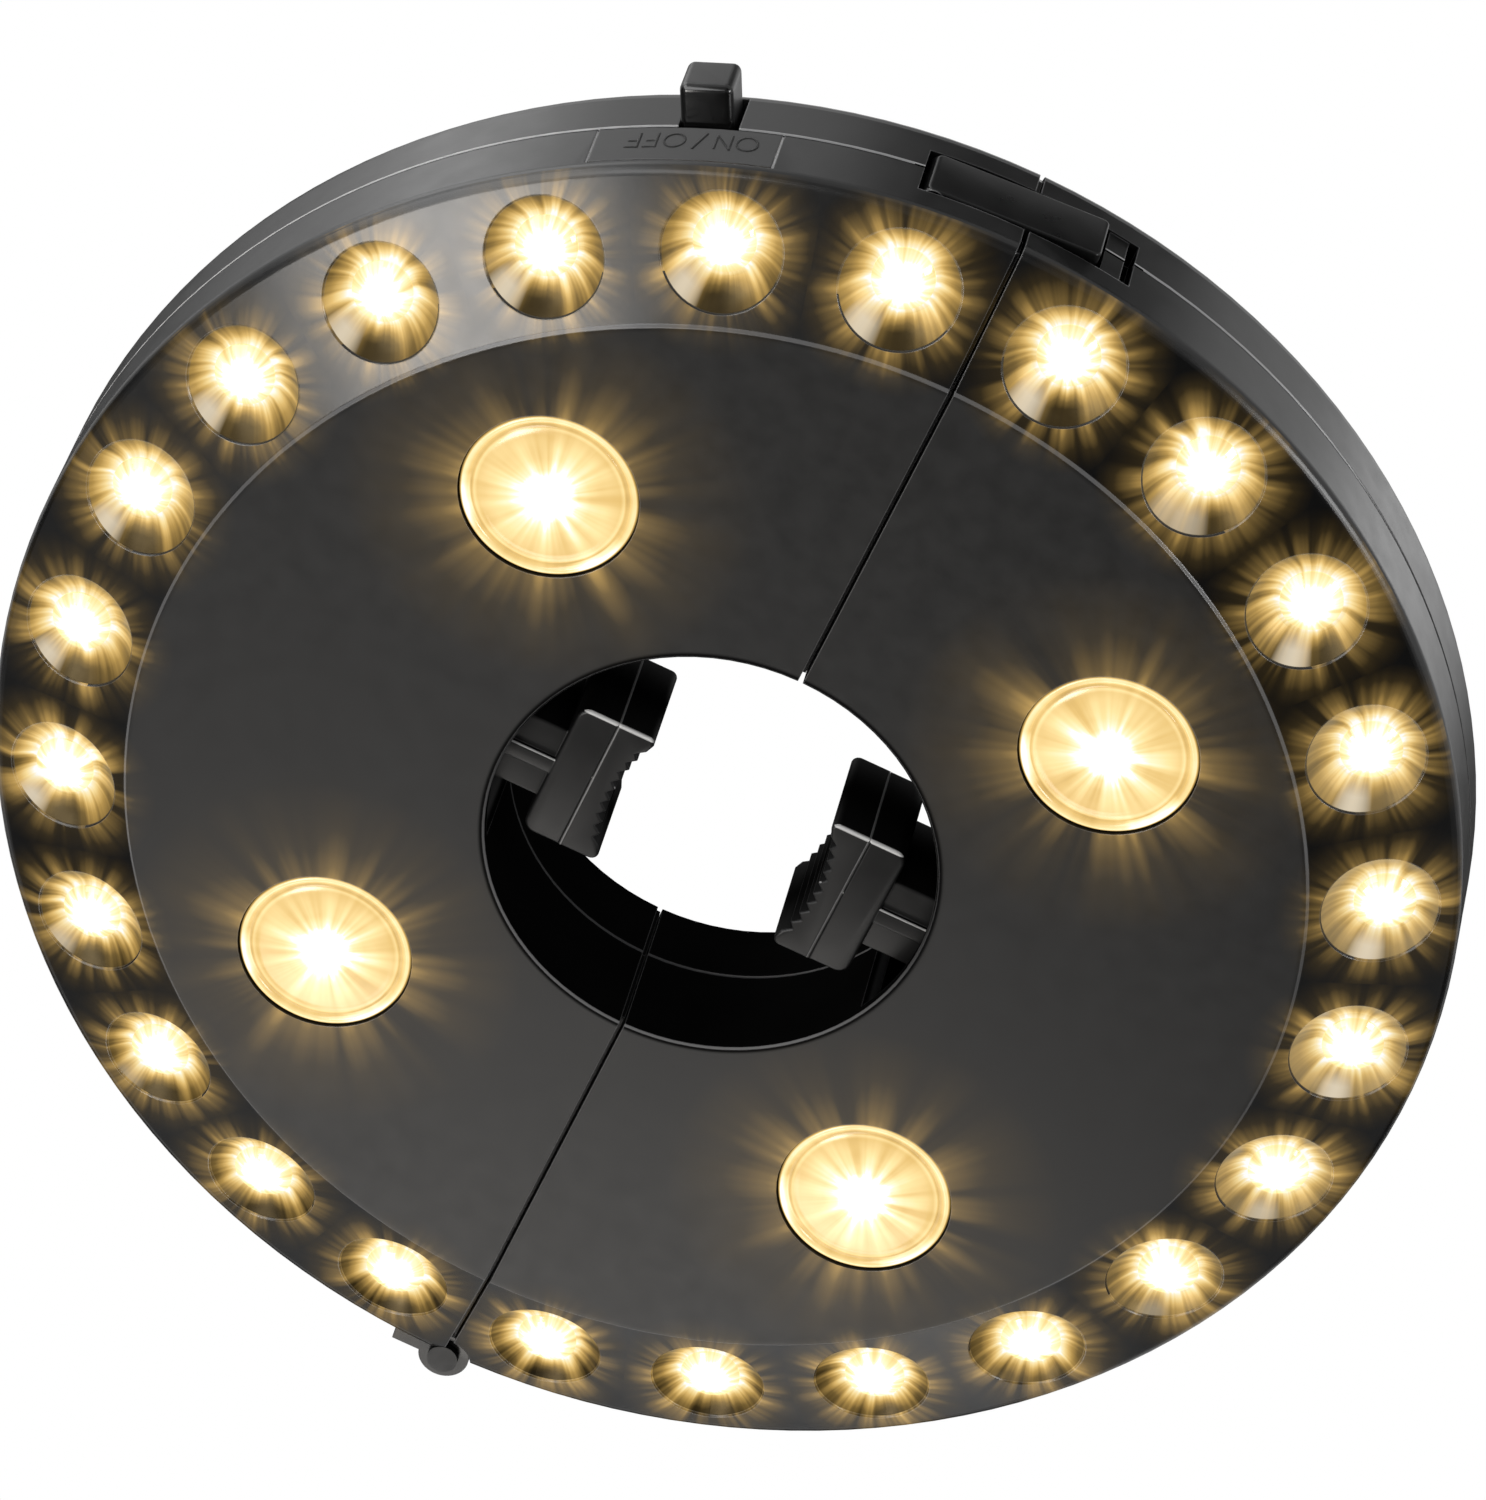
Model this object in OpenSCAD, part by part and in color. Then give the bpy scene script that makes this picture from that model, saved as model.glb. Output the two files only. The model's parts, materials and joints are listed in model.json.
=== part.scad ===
// Cordless light that clamps round an umbrella pole: two hinged half rings with a
// ring of small lights, four large ones, spring jaws, a rim latch and fold-out hooks.
// Millimetres. Z runs up the pole, the lit face looks down and lies on z = 0.
// The halves part at x = 0, with the latch at +Y and the hinge at -Y.

/* [Housing] */
// Radius of the round rim
rim_r = 110; // [108:0.5:113]
// Height from the lit face to the back
height = 32.5; // [32:0.5:36]
// Height of the joint between face shell and back shell
seam_z = 19.5; // [18.8:0.1:20.2]
// Shell wall thickness
wall = 2; // [1.8:0.1:2.2]
// Radius of the flat middle of the lit face
face_r = 88; // [87:0.5:89]
// Height where the sloped ring would meet the side wall
slope_z = 7.4; // [7:0.1:7.8]
// Radius of the soft edge between sloped ring and side wall
bevel_r = 2; // [1.6:0.1:2.4]
// Radius of the rounded back edge
back_round = 4; // [3:0.5:4.5]
// Radius of the pole hole
hole_r = 33.8; // [33:0.2:34.4]
// Gap between the two halves
halves_gap = 0.8; // [0.6:0.1:1]

/* [Ring lights] */
// Small lights in each half
ring_lights = 12; // [8:1:12]
// Radius of a cup's rim, in the sloped ring
cup_r = 9; // [8.4:0.1:9.2]
// Radius of a cup's floor
cup_floor_r = 5.4; // [5.2:0.1:5.8]
// Radius of the sphere that shapes a cup
cup_bowl_r = 11.2; // [10.8:0.1:11.8]
// Lean of a cup's floor against the lit face, degrees
cup_floor_lean = 10; // [8:1:12]
// Wall thickness of a cup
cup_wall = 0.45; // [0.4:0.05:0.5]
// Radius of a small light's dome
dome_r = 4.6; // [4:0.1:4.8]
// Height of a small light's dome
dome_h = 2.2; // [1.8:0.1:2.6]

/* [Spot lights] */
// Distance of a large light from the pole's axis
spot_orbit = 63; // [62:0.5:64]
// Radius of a large light's lens
lens_r = 13.2; // [12.6:0.1:13.4]
// Width of the flange that holds the lens from inside
lens_flange = 1.6; // [1.4:0.1:1.8]
// Rise of the lens crown over its edge
lens_crown = 0.8; // [0.6:0.1:1]
// Depth of a spot reflector
spot_depth = 9; // [8:0.5:10]
// Radius of the spot reflector's throat
spot_throat_r = 4; // [3.6:0.1:4.4]

/* [Jaws] */
// Radius of the pole that the jaws hold in the drawn position
pole_r = 16.5; // [15.5:0.5:17.5]
// Radius of the hollow in a jaw pad
pad_hollow_r = 28; // [26:1:32]
// Width of a jaw
jaw_w = 23.8; // [22.4:0.2:24.2]
// Space between a jaw's top and the back
jaw_top_gap = 9.1; // [8.7:0.2:10.1]
// Lowest point of a jaw over the lit face
jaw_z = 3.8; // [3.6:0.1:4.2]
// Depth of the toothed pad
pad_t = 3.8; // [3.4:0.1:4.2]
// Depth of the jaw block behind the pad
block_t = 6.2; // [5.6:0.1:6.4]
// Teeth on a pad
pad_teeth = 9; // [7:1:11]
// Depth of the tooth grooves
tooth_d = 1; // [0.8:0.1:1.2]
// Width of the sliding stem
stem_w = 12.6; // [12:0.2:13]
// Length of the sliding stem
stem_l = 26; // [25:0.5:27]
// Travel of a jaw away from the pole
jaw_out = 7; // [6:0.5:7.5]
// Travel of a jaw toward the pole's axis
jaw_in = 6; // [5:0.5:6.5]
// Half width of the window that a jaw passes through
window_half = 14.4; // [13.6:0.2:15]
// Wire thickness of a jaw spring
spring_wire = 0.9; // [0.8:0.1:1]
// Outside diameter of a jaw spring
spring_d = 7.4; // [7:0.1:7.6]
// Turns of a jaw spring
spring_turns = 8; // [7:1:10]

/* [Batteries] */
// Diameter of a cell
cell_d = 14.5; // [14.2:0.1:14.6]
// Length of a cell with its nub
cell_l = 50.5; // [49.5:0.1:50.8]
// Length left for a contact spring
contact_l = 5; // [4.6:0.1:5.4]
// Thickness of a battery door
door_t = 2; // [1.8:0.1:2.2]
// Height that a door is lifted to come free
door_lift = 25; // [20:1:30]

/* [Hinge] */
// Radius of the hinge knuckles
knuckle_r = 4; // [3.6:0.1:4.2]
// Radius of the hinge pin
hinge_pin_r = 1.5; // [1.3:0.1:1.6]
// Lowest point of the lower knuckle
knuckle_z = 8; // [7.6:0.1:8.4]
// Length of the lower knuckle
knuckle_l = 4; // [3.6:0.1:4.4]

/* [Latch] */
// Half width of the latch pocket
pocket_half = 16.4; // [16:0.1:16.6]
// Lowest point of the latch pocket
pocket_z = 12.8; // [12.6:0.1:13.2]
// Height of the latch pocket
pocket_h = 11.8; // [11.4:0.1:12]
// Length of the latch from its pivot to its free end
latch_l = 25; // [24.4:0.1:25.4]
// Outward lean of the latch, degrees
latch_lean = 3.8; // [3.2:0.1:4.2]
// Thickness of the latch plate
latch_t = 2.2; // [2:0.1:2.4]
// Radius of the latch pin
latch_pin_r = 1; // [0.9:0.05:1.1]

/* [Mode button] */
// Place of the button on the rim, degrees from +X
button_angle = 65; // [64:0.5:66]
// Width of the button
button_w = 7.8; // [7.2:0.1:8]
// Height of the button
button_h = 8.4; // [8:0.1:8.6]
// How far the button stands out of the rim
button_out = 6.2; // [5.7:0.1:6.5]
// Travel of the button
button_travel = 1; // [0.8:0.1:1.1]

/* [Hooks] */
// Distance of the hook pivot from the pole's axis
hook_x = 41; // [40.4:0.2:41.6]
// Inner radius of the hook's loop
hook_eye_r = 5.4; // [5:0.1:5.6]
// Thickness of the hook
hook_t = 2.6; // [2.4:0.1:2.8]
// Distance from the pivot to the middle of the loop
hook_reach = 12.4; // [12:0.1:12.6]

/* [Screws] */
// Radius of a housing screw's head
screw_head_r = 2.7; // [2.5:0.1:2.8]
// Radius of a housing screw's shank
screw_r = 1.2; // [1.1:0.05:1.3]
// Length of a housing screw's shank
screw_l = 14; // [12:1:16]

/* [Hidden] */

// Fits
slip = 0.15;
slide = 0.3;
running = 0.05;
hair = 0.02;
far = 2 * rim_r;
$fn = 96;

// Shell section
step_w = 0.35;
step_h = 0.5;
hole_edge = 0.3;
groove = 0.3;
seam_wall_t = 1.6;
lip_depth = 2.4;
lip_edge = 0.5;
lip_gap = 0.15;
slope = atan((slope_z - step_h) / (rim_r - face_r - step_w));
bevel_cr = rim_r - bevel_r;
bevel_cz = step_h + (bevel_cr - face_r - step_w) * tan(slope) + bevel_r / cos(slope);
back_z = height - wall;

// Small lights
light_r = (face_r + rim_r) / 2 - 0.5;
light_z = step_h + (light_r - face_r - step_w) * tan(slope);
light_step = 180 / ring_lights;
bowl_off = sqrt(cup_bowl_r * cup_bowl_r - cup_r * cup_r);
bowl_r = light_r + bowl_off * sin(slope);
bowl_z = light_z - bowl_off * cos(slope);
floor_off = sqrt(cup_bowl_r * cup_bowl_r - cup_floor_r * cup_floor_r);
floor_r = bowl_r - floor_off * sin(cup_floor_lean);
floor_z = bowl_z + floor_off * cos(cup_floor_lean);
cup_floor_t = 0.9;
cup_gap = 0.1;
cup_lip = 0.35;
board_z = floor_z + cup_floor_r * sin(cup_floor_lean) + cup_floor_t + 0.35;
board_t = 1.6;
board_in_r = light_r - 7;
board_out_r = light_r + 3.2;
ring_plate_t = 1.4;

// Spot lights
spot_xy = spot_orbit * cos(45);
lens_rim_z = 0.1 + lens_crown;
lens_t = 2.4;
spot_ring_r = lens_r + lens_flange + slip;
spot_z = wall + 1.55;
spot_back_z = spot_z + spot_depth;
spot_board_r = 9;

// Jaws, measured outward from the pole's axis
jaw_h = height - jaw_z - jaw_top_gap;
pad_back_x = pole_r + pad_t;
pad_lip = 2.6;
pad_round = 1.2;
jaw_back_x = pad_back_x + block_t;
stem_end_x = jaw_back_x + stem_l;
stem_z = jaw_z + 1.1;
stem_top_z = jaw_z + jaw_h - 0.6;
channel_half = stem_w / 2 + slide;
channel_x = jaw_back_x + jaw_out + 5.4;
channel_wall = 1.5;
cover_z = stem_top_z + slide;
cover_t = 1.5;
spring_pocket_l = 12;
spring_pocket_r = spring_d / 2 + 0.4;
spring_z = (stem_z + stem_top_z) / 2;
stop_x = stem_end_x - 5;
stop_half = 2;
cover_screw_r = 0.85;
cover_screw_l = 7;
cover_head_r = 2;
cover_head_h = 1;
cover_screw_y = channel_half + channel_wall + cover_head_r + 0.1;
cover_screw_spots = [[channel_x + 5.5, -cover_screw_y], [channel_x + 20, cover_screw_y]];

// Batteries, measured outward from the pole's axis
cell_r = cell_d / 2;
cell_gap = 0.4;
contact_t = 0.5;
bay_wall = 1.5;
bay_half_y = (cell_l + contact_l) / 2 + contact_t + 0.25;
door_half_y = bay_half_y + bay_wall;
door_x1 = sqrt(pow(rim_r - back_round - 1.2, 2) - pow(door_half_y, 2));
bay_x1 = door_x1 - bay_wall;
outer_cell_x = bay_x1 - cell_gap - cell_r;
inner_cell_x = outer_cell_x - cell_d - cell_gap;
bay_x0 = inner_cell_x - cell_r - cell_gap;
door_x0 = bay_x0 - bay_wall;
door_z = height - door_t;
thumb_r = 5;
grip_l = 14;
grip_w = 1;
grip_step = 2.2;
hold_y = 14;
hold_w = 1.6;
bay_floor_z = board_z + board_t + 2.4;
bay_floor_t = 1.4;
cell_z = bay_floor_z + slide + cell_r;
frame_t = 1.6;
frame_w = 1.5;
channel_end = door_x0 - frame_w - channel_wall - 0.4;

// Hinge
hinge_y = -(rim_r + 0.5);
hinge_head_r = hinge_pin_r + 0.9;
knuckle_gap = 0.3;
knuckle_clear = 0.35;
low_top = knuckle_z + knuckle_l;
mid_z = low_top + knuckle_gap;
mid_top = seam_z - 0.1;
high_z = mid_top + knuckle_gap;
high_top = high_z + 6.5;
web_l = 8;
web_depth = 4.6;

// Latch
pocket_wall = 1.5;
pocket_y = rim_r - 5;
pocket_top = pocket_z + pocket_h;
latch_play = 0.6;
latch_z = pocket_z + latch_play;
latch_h = pocket_h - 2 * latch_play;
latch_barrel_r = latch_pin_r + 0.9;
latch_tail = 1.3;
latch_x = pocket_half - latch_barrel_r - 0.7;
latch_y = rim_r - 2.7;
latch_out = 2.05;
catch_x = latch_x - latch_l + 5.6;
catch_w = 2.4;
catch_h = 2.1;
nose_u = latch_l - 5;
nose_w = 2;
nose_tip_y = pocket_y + catch_h + 0.25;
block_x0 = latch_x - latch_l - 0.5;
block_x1 = pocket_half - 1.5;

// Mode button, measured outward from the pole's axis
button_z = seam_z + 0.5;
button_side = -0.25;
button_slot_near = 0.15;
button_slot_far = 0.8;
button_slot_top = 0.6;
panel_groove = 0.3;
panel_depth = 0.24;
button_skirt_x = rim_r - wall - 2.1;
button_skirt_t = 1.2;
stem_tip_x = button_skirt_x - 2.4;
switch_l = 3.5;
switch_w = 6;
switch_face_x = stem_tip_x - button_travel - 0.2;
switch_back_x = switch_face_x - switch_l;
switch_z = button_z + button_h / 2;
plunger_r = 1.7;
control_t = 1.6;
control_w = 22;
control_z = board_z + board_t + 3.4;
control_h = back_z - control_z - 0.15;

// Hooks
hook_band = 2.6;
hook_z = height - 0.35 - hook_t;
hook_barrel_r = hook_t / 2 + 0.2;
hook_pivot_z = hook_z + hook_t / 2;
hook_half = 5.4;
hook_pin_r = 1.1;
hook_pin_l = 1.3;
hook_well_z = hook_z - 0.35;
hook_well_t = 1.4;
hook_loop_r = hook_eye_r + hook_band / 2;
hook_well_r = hook_eye_r + hook_band + 0.8;

// Screws
boss_r = 3.4;
boss_top = height - 5;
pilot_r = screw_r + 0.1;
head_h = 2;
screw_seat_z = boss_top + 1.6;
boss_spots = [
    [11, 55], [11, -55],
    [(face_r - 1.7) * cos(45), (face_r - 1.7) * sin(45)],
    [(face_r - 1.7) * cos(45), -(face_r - 1.7) * sin(45)]
];

function arc(cx, cy, r, a0, a1, n) =
    [for (i = [0:n]) let (a = a0 + (a1 - a0) * i / n) [cx + r * cos(a), cy + r * sin(a)]];

// Section of the face shell at a depth under its surface
function face_path(d) = let (
    in_r = face_r + step_w - d * sin(slope),
    in_z = step_h + d * cos(slope),
    crease = in_r + (d - in_z) / tan(slope)
) concat(
    d == 0 ? [[hole_r, hole_edge], [hole_r + hole_edge, 0], [face_r, 0],
              [face_r + step_w, step_h]]
           : [[hole_r + d, d], [crease, d]],
    arc(bevel_cr, bevel_cz, max(bevel_r - d, 0.3), slope - 90, 0, d == 0 ? 6 : 2)
);

// Section of the back shell at a depth under its surface
function back_path(d) = concat(
    arc(rim_r - back_round, height - back_round, max(back_round - d, 0.3), 0, 90, d == 0 ? 6 : 2),
    d == 0 ? [[hole_r + hole_edge, height], [hole_r, height - hole_edge]]
           : [[hole_r + d, height - d]]
);

// Points of a coil along X whose radius runs from r0 to r1
function coil(l, r0, r1, turns, per_turn) = [
    for (i = [0:turns * per_turn])
    let (t = i / (turns * per_turn), a = 360 * turns * t, r = r0 + (r1 - r0) * t)
    [l * t, r * cos(a), r * sin(a)]
];

function unit(v) = v / norm(v);

// Round wire along a list of points
module wire(points, r, sides) {
    n = len(points);
    rings = [
        for (i = [0:n - 1])
        let (
            along = unit(points[min(i + 1, n - 1)] - points[max(i - 1, 0)]),
            side = unit(cross(along, [1, 0, 0.01])),
            up = cross(side, along)
        )
        for (k = [0:sides - 1])
        points[i] + r * (cos(360 * k / sides) * side + sin(360 * k / sides) * up)
    ];
    walls = [
        for (i = [0:n - 2], k = [0:sides - 1])
        let (a = i * sides + k, b = i * sides + (k + 1) % sides)
        each [[a, b, a + sides], [b, b + sides, a + sides]]
    ];
    ends = [
        for (k = [1:sides - 2])
        each [[0, k + 1, k], [(n - 1) * sides, (n - 1) * sides + k, (n - 1) * sides + k + 1]]
    ];
    polyhedron(rings, concat(walls, ends), convexity = 10);
}

// Keeps what lies on the +X side of the gap
module in_half() {
    intersection() {
        children();
        translate([halves_gap / 2, -far, -far]) cube([far, 2 * far, 2 * far]);
    }
}

// Keeps what lies inside the wall along the seam plane
module behind_seam_wall() {
    intersection() {
        children();
        translate([halves_gap / 2 + seam_wall_t + slip, -far, -far]) cube([far, 2 * far, 2 * far]);
    }
}

// The swing half is the main half's mirror image
module swing() {
    mirror([1, 0, 0]) children();
}

module box(x0, x1, half_y, z0, z1) {
    translate([x0, -half_y, z0]) cube([x1 - x0, 2 * half_y, z1 - z0]);
}

module post(x, y, r, z0, z1) {
    translate([x, y, z0]) cylinder(h = z1 - z0, r = r, $fn = 48);
}

module at_lights() {
    for (i = [0:ring_lights - 1]) rotate([0, 0, -90 + light_step * (i + 0.5)]) children();
}

module at_spots() {
    for (s = [-1, 1]) translate([spot_xy, s * spot_xy, 0]) children();
}

// Bowl of a ring light, grown by a wall thickness
module bowl(grow) {
    intersection() {
        translate([bowl_r, 0, bowl_z]) sphere(r = cup_bowl_r + grow);
        translate([bowl_r, 0, bowl_z]) rotate([0, -cup_floor_lean, 0])
            translate([0, 0, -far])
            cylinder(h = far + floor_off + min(grow * 1.5, cup_floor_t), r = far);
    }
}

// Space over the sloped ring, from a depth under its surface upward
module over_slope(depth) {
    drop = depth / cos(slope);
    rotate_extrude($fn = 180) polygon([
        [light_r - 14, light_z + drop - 14 * tan(slope)],
        [light_r + 10, light_z + drop + 10 * tan(slope)],
        [light_r + 10, light_z + 14],
        [light_r - 14, light_z + 14]
    ]);
}

// Solid under the face shell's outer surface
module face_fill() {
    rotate_extrude($fn = 180)
        polygon(concat(face_path(0), [[rim_r, seam_z - groove], [rim_r - groove, seam_z],
                                      [hole_r + groove, seam_z], [hole_r, seam_z - groove]]));
}

// Solid under the back shell's outer surface
module back_fill() {
    rotate_extrude($fn = 180)
        polygon(concat([[hole_r, seam_z + groove], [hole_r + groove, seam_z],
                        [rim_r - groove, seam_z], [rim_r, seam_z + groove]], back_path(0)));
}

function reversed(list) = [for (i = [len(list) - 1:-1:0]) list[i]];

module face_skin() {
    rotate_extrude($fn = 180) polygon(concat(
        face_path(0),
        [[rim_r, seam_z - groove], [rim_r - groove, seam_z], [rim_r - wall, seam_z]],
        reversed(face_path(wall)),
        [[hole_r + wall, seam_z], [hole_r + groove, seam_z], [hole_r, seam_z - groove]]
    ));
}

module back_skin() {
    rotate_extrude($fn = 180) polygon(concat(
        [[rim_r - groove, seam_z], [rim_r, seam_z + groove]],
        back_path(0),
        [[hole_r, seam_z + groove], [hole_r + groove, seam_z], [hole_r + wall, seam_z]],
        reversed(back_path(wall)),
        [[rim_r - wall, seam_z]]
    ));
}

// Wall along the seam plane between the halves
module seam_wall() {
    intersection() {
        children();
        translate([halves_gap / 2, -far, -far]) cube([seam_wall_t, 2 * far, 2 * far]);
    }
}

// Set-back lip on the main half that closes the view through the gap
module gap_lip() {
    intersection() {
        rotate_extrude($fn = 180) children();
        translate([lip_gap - halves_gap / 2, -far, -far])
            cube([halves_gap - lip_gap + 0.01, 2 * far, 2 * far]);
    }
}

// Walls of the latch pocket, inside the rim
module pocket_block(z0, z1) {
    intersection() {
        translate([halves_gap / 2, pocket_y - pocket_wall, z0])
            cube([pocket_half + pocket_wall - halves_gap / 2, far, z1 - z0]);
        cylinder(h = far, r = rim_r, $fn = 180);
    }
}

// Hollow of the latch pocket, on the half that carries the latch
module main_pocket() {
    translate([-1, pocket_y, pocket_z]) cube([pocket_half + 1, far, pocket_h]);
    post(latch_x, latch_y, latch_pin_r + hair, pocket_z - 1.2, pocket_top + 1.2);
}

// Hollow of the latch pocket on the other half, with its catch and end block
module swing_pocket() {
    difference() {
        translate([-1, pocket_y, pocket_z]) cube([pocket_half + 1, far, pocket_h]);
        intersection() {
            translate([-block_x0, pocket_y - 1, pocket_z - 1])
                cube([block_x1 + block_x0, far, pocket_h + 2]);
            cylinder(h = far, r = rim_r - 0.4, $fn = 180);
        }
        translate([0, pocket_y, pocket_z - 1]) linear_extrude(pocket_h + 2)
            polygon([[-catch_x - catch_w, -1], [-catch_x, -1], [-catch_x, catch_h],
                     [-catch_x - 0.8, catch_h], [-catch_x - catch_w, 0.6]]);
    }
}

// Hinge knuckle with the web that ties it to the rim
module knuckle(z0, z1) {
    difference() {
        union() {
            post(0, hinge_y, knuckle_r, z0, z1);
            translate([halves_gap / 2, hinge_y - 1, z0])
                cube([web_l, web_depth + 1, z1 - z0]);
        }
        post(0, hinge_y, hinge_pin_r + running, z0 - 1, z1 + 1);
    }
}

module hinge_relief(z0, z1) {
    post(0, hinge_y, knuckle_r + knuckle_clear, z0, z1);
}

// Bore for the hinge pin through the half that holds it, with room for its ends
module hinge_bore() {
    post(0, hinge_y, hinge_pin_r + running, 0, high_top + 1);
    post(0, hinge_y, hinge_head_r + slip, 0, knuckle_z);
}

module jaw_window(z0, z1) {
    box(hole_r - 8, hole_r + wall + 1, window_half, z0, z1);
}

// Walls and floor rails that guide the jaw's stem
module jaw_channel() {
    difference() {
        union() {
            box(channel_x, channel_end + channel_wall, channel_half + channel_wall,
                wall - 0.2, cover_z);
            for (p = cover_screw_spots) post(p[0], p[1], 2.6, wall - 0.2, cover_z);
        }
        box(channel_x - 1, channel_end, channel_half, stem_z - slide, cover_z + 1);
        box(channel_x - 1, channel_end, 2.2, wall, stem_z);
        for (p = cover_screw_spots) 
            post(p[0], p[1], cover_screw_r + 0.1, cover_z - cover_screw_l - 1, cover_z + 1);
    }
}

module face_shell_body() {
    in_half() face_skin();
    seam_wall() face_fill();
    jaw_channel();
    for (b = boss_spots) post(b[0], b[1], boss_r, wall - 0.2, boss_top - 0.1);
    at_spots() difference() {
        post(0, 0, spot_ring_r + 1.4, wall - 0.2, spot_z + 2.4);
        post(0, 0, spot_ring_r, wall - 1, spot_z + 3);
    }
    rotate([0, 0, -78]) rotate_extrude(angle = 128, $fn = 180) polygon([
        [rim_r - wall - 1.35, seam_z - 2.2], [rim_r - wall + 0.2, seam_z - 2.2],
        [rim_r - wall + 0.2, seam_z - 0.1], [rim_r - wall - slip, seam_z - 0.1],
        [rim_r - wall - slip, seam_z + 2], [rim_r - wall - 1.35, seam_z + 2]
    ]);
    pocket_block(pocket_z - pocket_wall, seam_z);
}

module face_shell_cuts() {
    at_lights() bowl(0);
    intersection() {
        at_lights() bowl(cup_wall + cup_gap);
        over_slope(cup_lip);
    }
    at_spots() post(0, 0, lens_r + slip, -1, wall + 1);
    jaw_window(wall, seam_z + 1);
    for (b = boss_spots) post(b[0], b[1], pilot_r, screw_seat_z - screw_l - 1, boss_top + 1);
}

// Grooves that frame the bare panel on the side wall under the button
module button_panel() {
    turn = 14.1;
    end_turn = 360 * panel_groove / (2 * PI * rim_r);
    rotate([0, 0, button_angle - 8.3]) difference() {
        rotate_extrude(angle = turn, $fn = 180)
            translate([rim_r - panel_depth, bevel_cz + 0.1]) square([3, seam_z - bevel_cz + 1]);
        rotate([0, 0, end_turn]) rotate_extrude(angle = turn - 2 * end_turn, $fn = 180)
            translate([rim_r - 1, bevel_cz + 0.1 + panel_groove])
            square([5, seam_z - bevel_cz + 2]);
    }
}

module main_face_shell() {
    skin = face_path(lip_depth);
    under_face = [for (i = [1:len(skin) - 1]) skin[i]];
    color([0.13, 0.13, 0.135]) difference() {
        union() {
            face_shell_body();
            gap_lip() polygon(concat([[hole_r + lip_edge, lip_depth]], under_face,
                                     [[rim_r - lip_depth, seam_z], [hole_r + lip_edge, seam_z]]));
            knuckle(knuckle_z, low_top);
        }
        face_shell_cuts();
        main_pocket();
        button_panel();
        hinge_bore();
        hinge_relief(mid_z - knuckle_gap / 2, height);
    }
}

module swing_face_shell() {
    color([0.13, 0.13, 0.135]) swing() union() {
        difference() {
            face_shell_body();
            face_shell_cuts();
            swing_pocket();
            hinge_relief(-1, height);
        }
        knuckle(mid_z, mid_top);
    }
}

// Open box that holds two cells, with a frame that the door rests on
module bay_walls() {
    difference() {
        union() {
            box(door_x0, door_x1, door_half_y, bay_floor_z - bay_floor_t, door_z);
            box(door_x0 - frame_w, door_x1 + frame_w, door_half_y + frame_w,
                door_z - frame_t, back_z + 0.5);
        }
        box(bay_x0, bay_x1, bay_half_y, bay_floor_z, height);
    }
}

module hook_well_outline(grow) {
    translate([hook_x + hook_reach, 0]) circle(r = hook_well_r + grow);
    translate([hook_x + hook_reach + hook_well_r - 1.2, 0]) circle(r = 3 + grow);
    translate([hook_x - hook_barrel_r - 0.5 - grow, -hook_half - slip - grow])
        square([hook_reach, 2 * (hook_half + slip + grow)]);
}

module hook_well() {
    translate([0, 0, hook_well_z]) linear_extrude(height) hook_well_outline(0);
    for (s = [-1, 1]) translate([hook_x, s * hook_half, hook_pivot_z])
        rotate([-90 * s, 0, 0]) cylinder(h = hook_pin_l + 0.3, r = hook_pin_r + running, $fn = 48);
}

module back_shell_body() {
    in_half() back_skin();
    seam_wall() back_fill();
    bay_walls();
    translate([0, 0, hook_well_z - hook_well_t]) linear_extrude(hook_well_t + 2)
        hook_well_outline(1.4);
    for (s = [-1, 1]) translate([hook_x - 2.4, s * (hook_half + 1.6) - 1.6, hook_well_z - hook_well_t])
        cube([4.8, 3.2, height - hook_well_z]);
    for (b = boss_spots) post(b[0], b[1], screw_head_r + 1.5, boss_top, height - 0.2);
    pocket_block(seam_z, pocket_top + pocket_wall);
}

module back_shell_cuts() {
    box(door_x0 - slip, door_x1 + slip, door_half_y + slip, door_z, height + 1);
    hook_well();
    jaw_window(seam_z - 1, jaw_z + jaw_h + 0.6);
    for (b = boss_spots) {
        post(b[0], b[1], screw_r + 0.25, boss_top - 1, height);
        post(b[0], b[1], screw_head_r + 0.3, screw_seat_z, height + 1);
    }
}

// Rails that hold the control board upright behind the button
module board_rails() {
    rotate([0, 0, button_angle]) for (s = [-1, 1]) difference() {
        translate([switch_back_x - control_t - 1.6, s * (control_w / 2) - 1.8, control_z])
            cube([control_t + 3.2, 3.6, back_z - control_z + 0.5]);
        translate([switch_back_x - control_t - slip, -control_w / 2 - slip, control_z - 1])
            cube([control_t + 2 * slip, control_w + 2 * slip, back_z - control_z + 1]);
    }
}

module button_slot_cut() {
    rotate([0, 0, button_angle])
        translate([button_skirt_x, button_side - button_w / 2 - button_slot_near, seam_z - 1])
        cube([10, button_w + button_slot_near + button_slot_far,
              button_z + button_h + button_slot_top - seam_z + 1]);
}

module main_back_shell() {
    color([0.12, 0.12, 0.125]) difference() {
        union() {
            back_shell_body();
            gap_lip() polygon(concat([[hole_r + lip_edge, seam_z], [rim_r - lip_edge, seam_z]],
                                     back_path(lip_edge)));
            board_rails();
            knuckle(high_z, high_top);
        }
        back_shell_cuts();
        main_pocket();
        button_slot_cut();
        hinge_bore();
        hinge_relief(0, high_z - knuckle_gap / 2);
    }
}

module swing_back_shell() {
    color([0.12, 0.12, 0.125]) swing() difference() {
        back_shell_body();
        back_shell_cuts();
        swing_pocket();
        hinge_relief(0, height + 1);
    }
}

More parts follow.
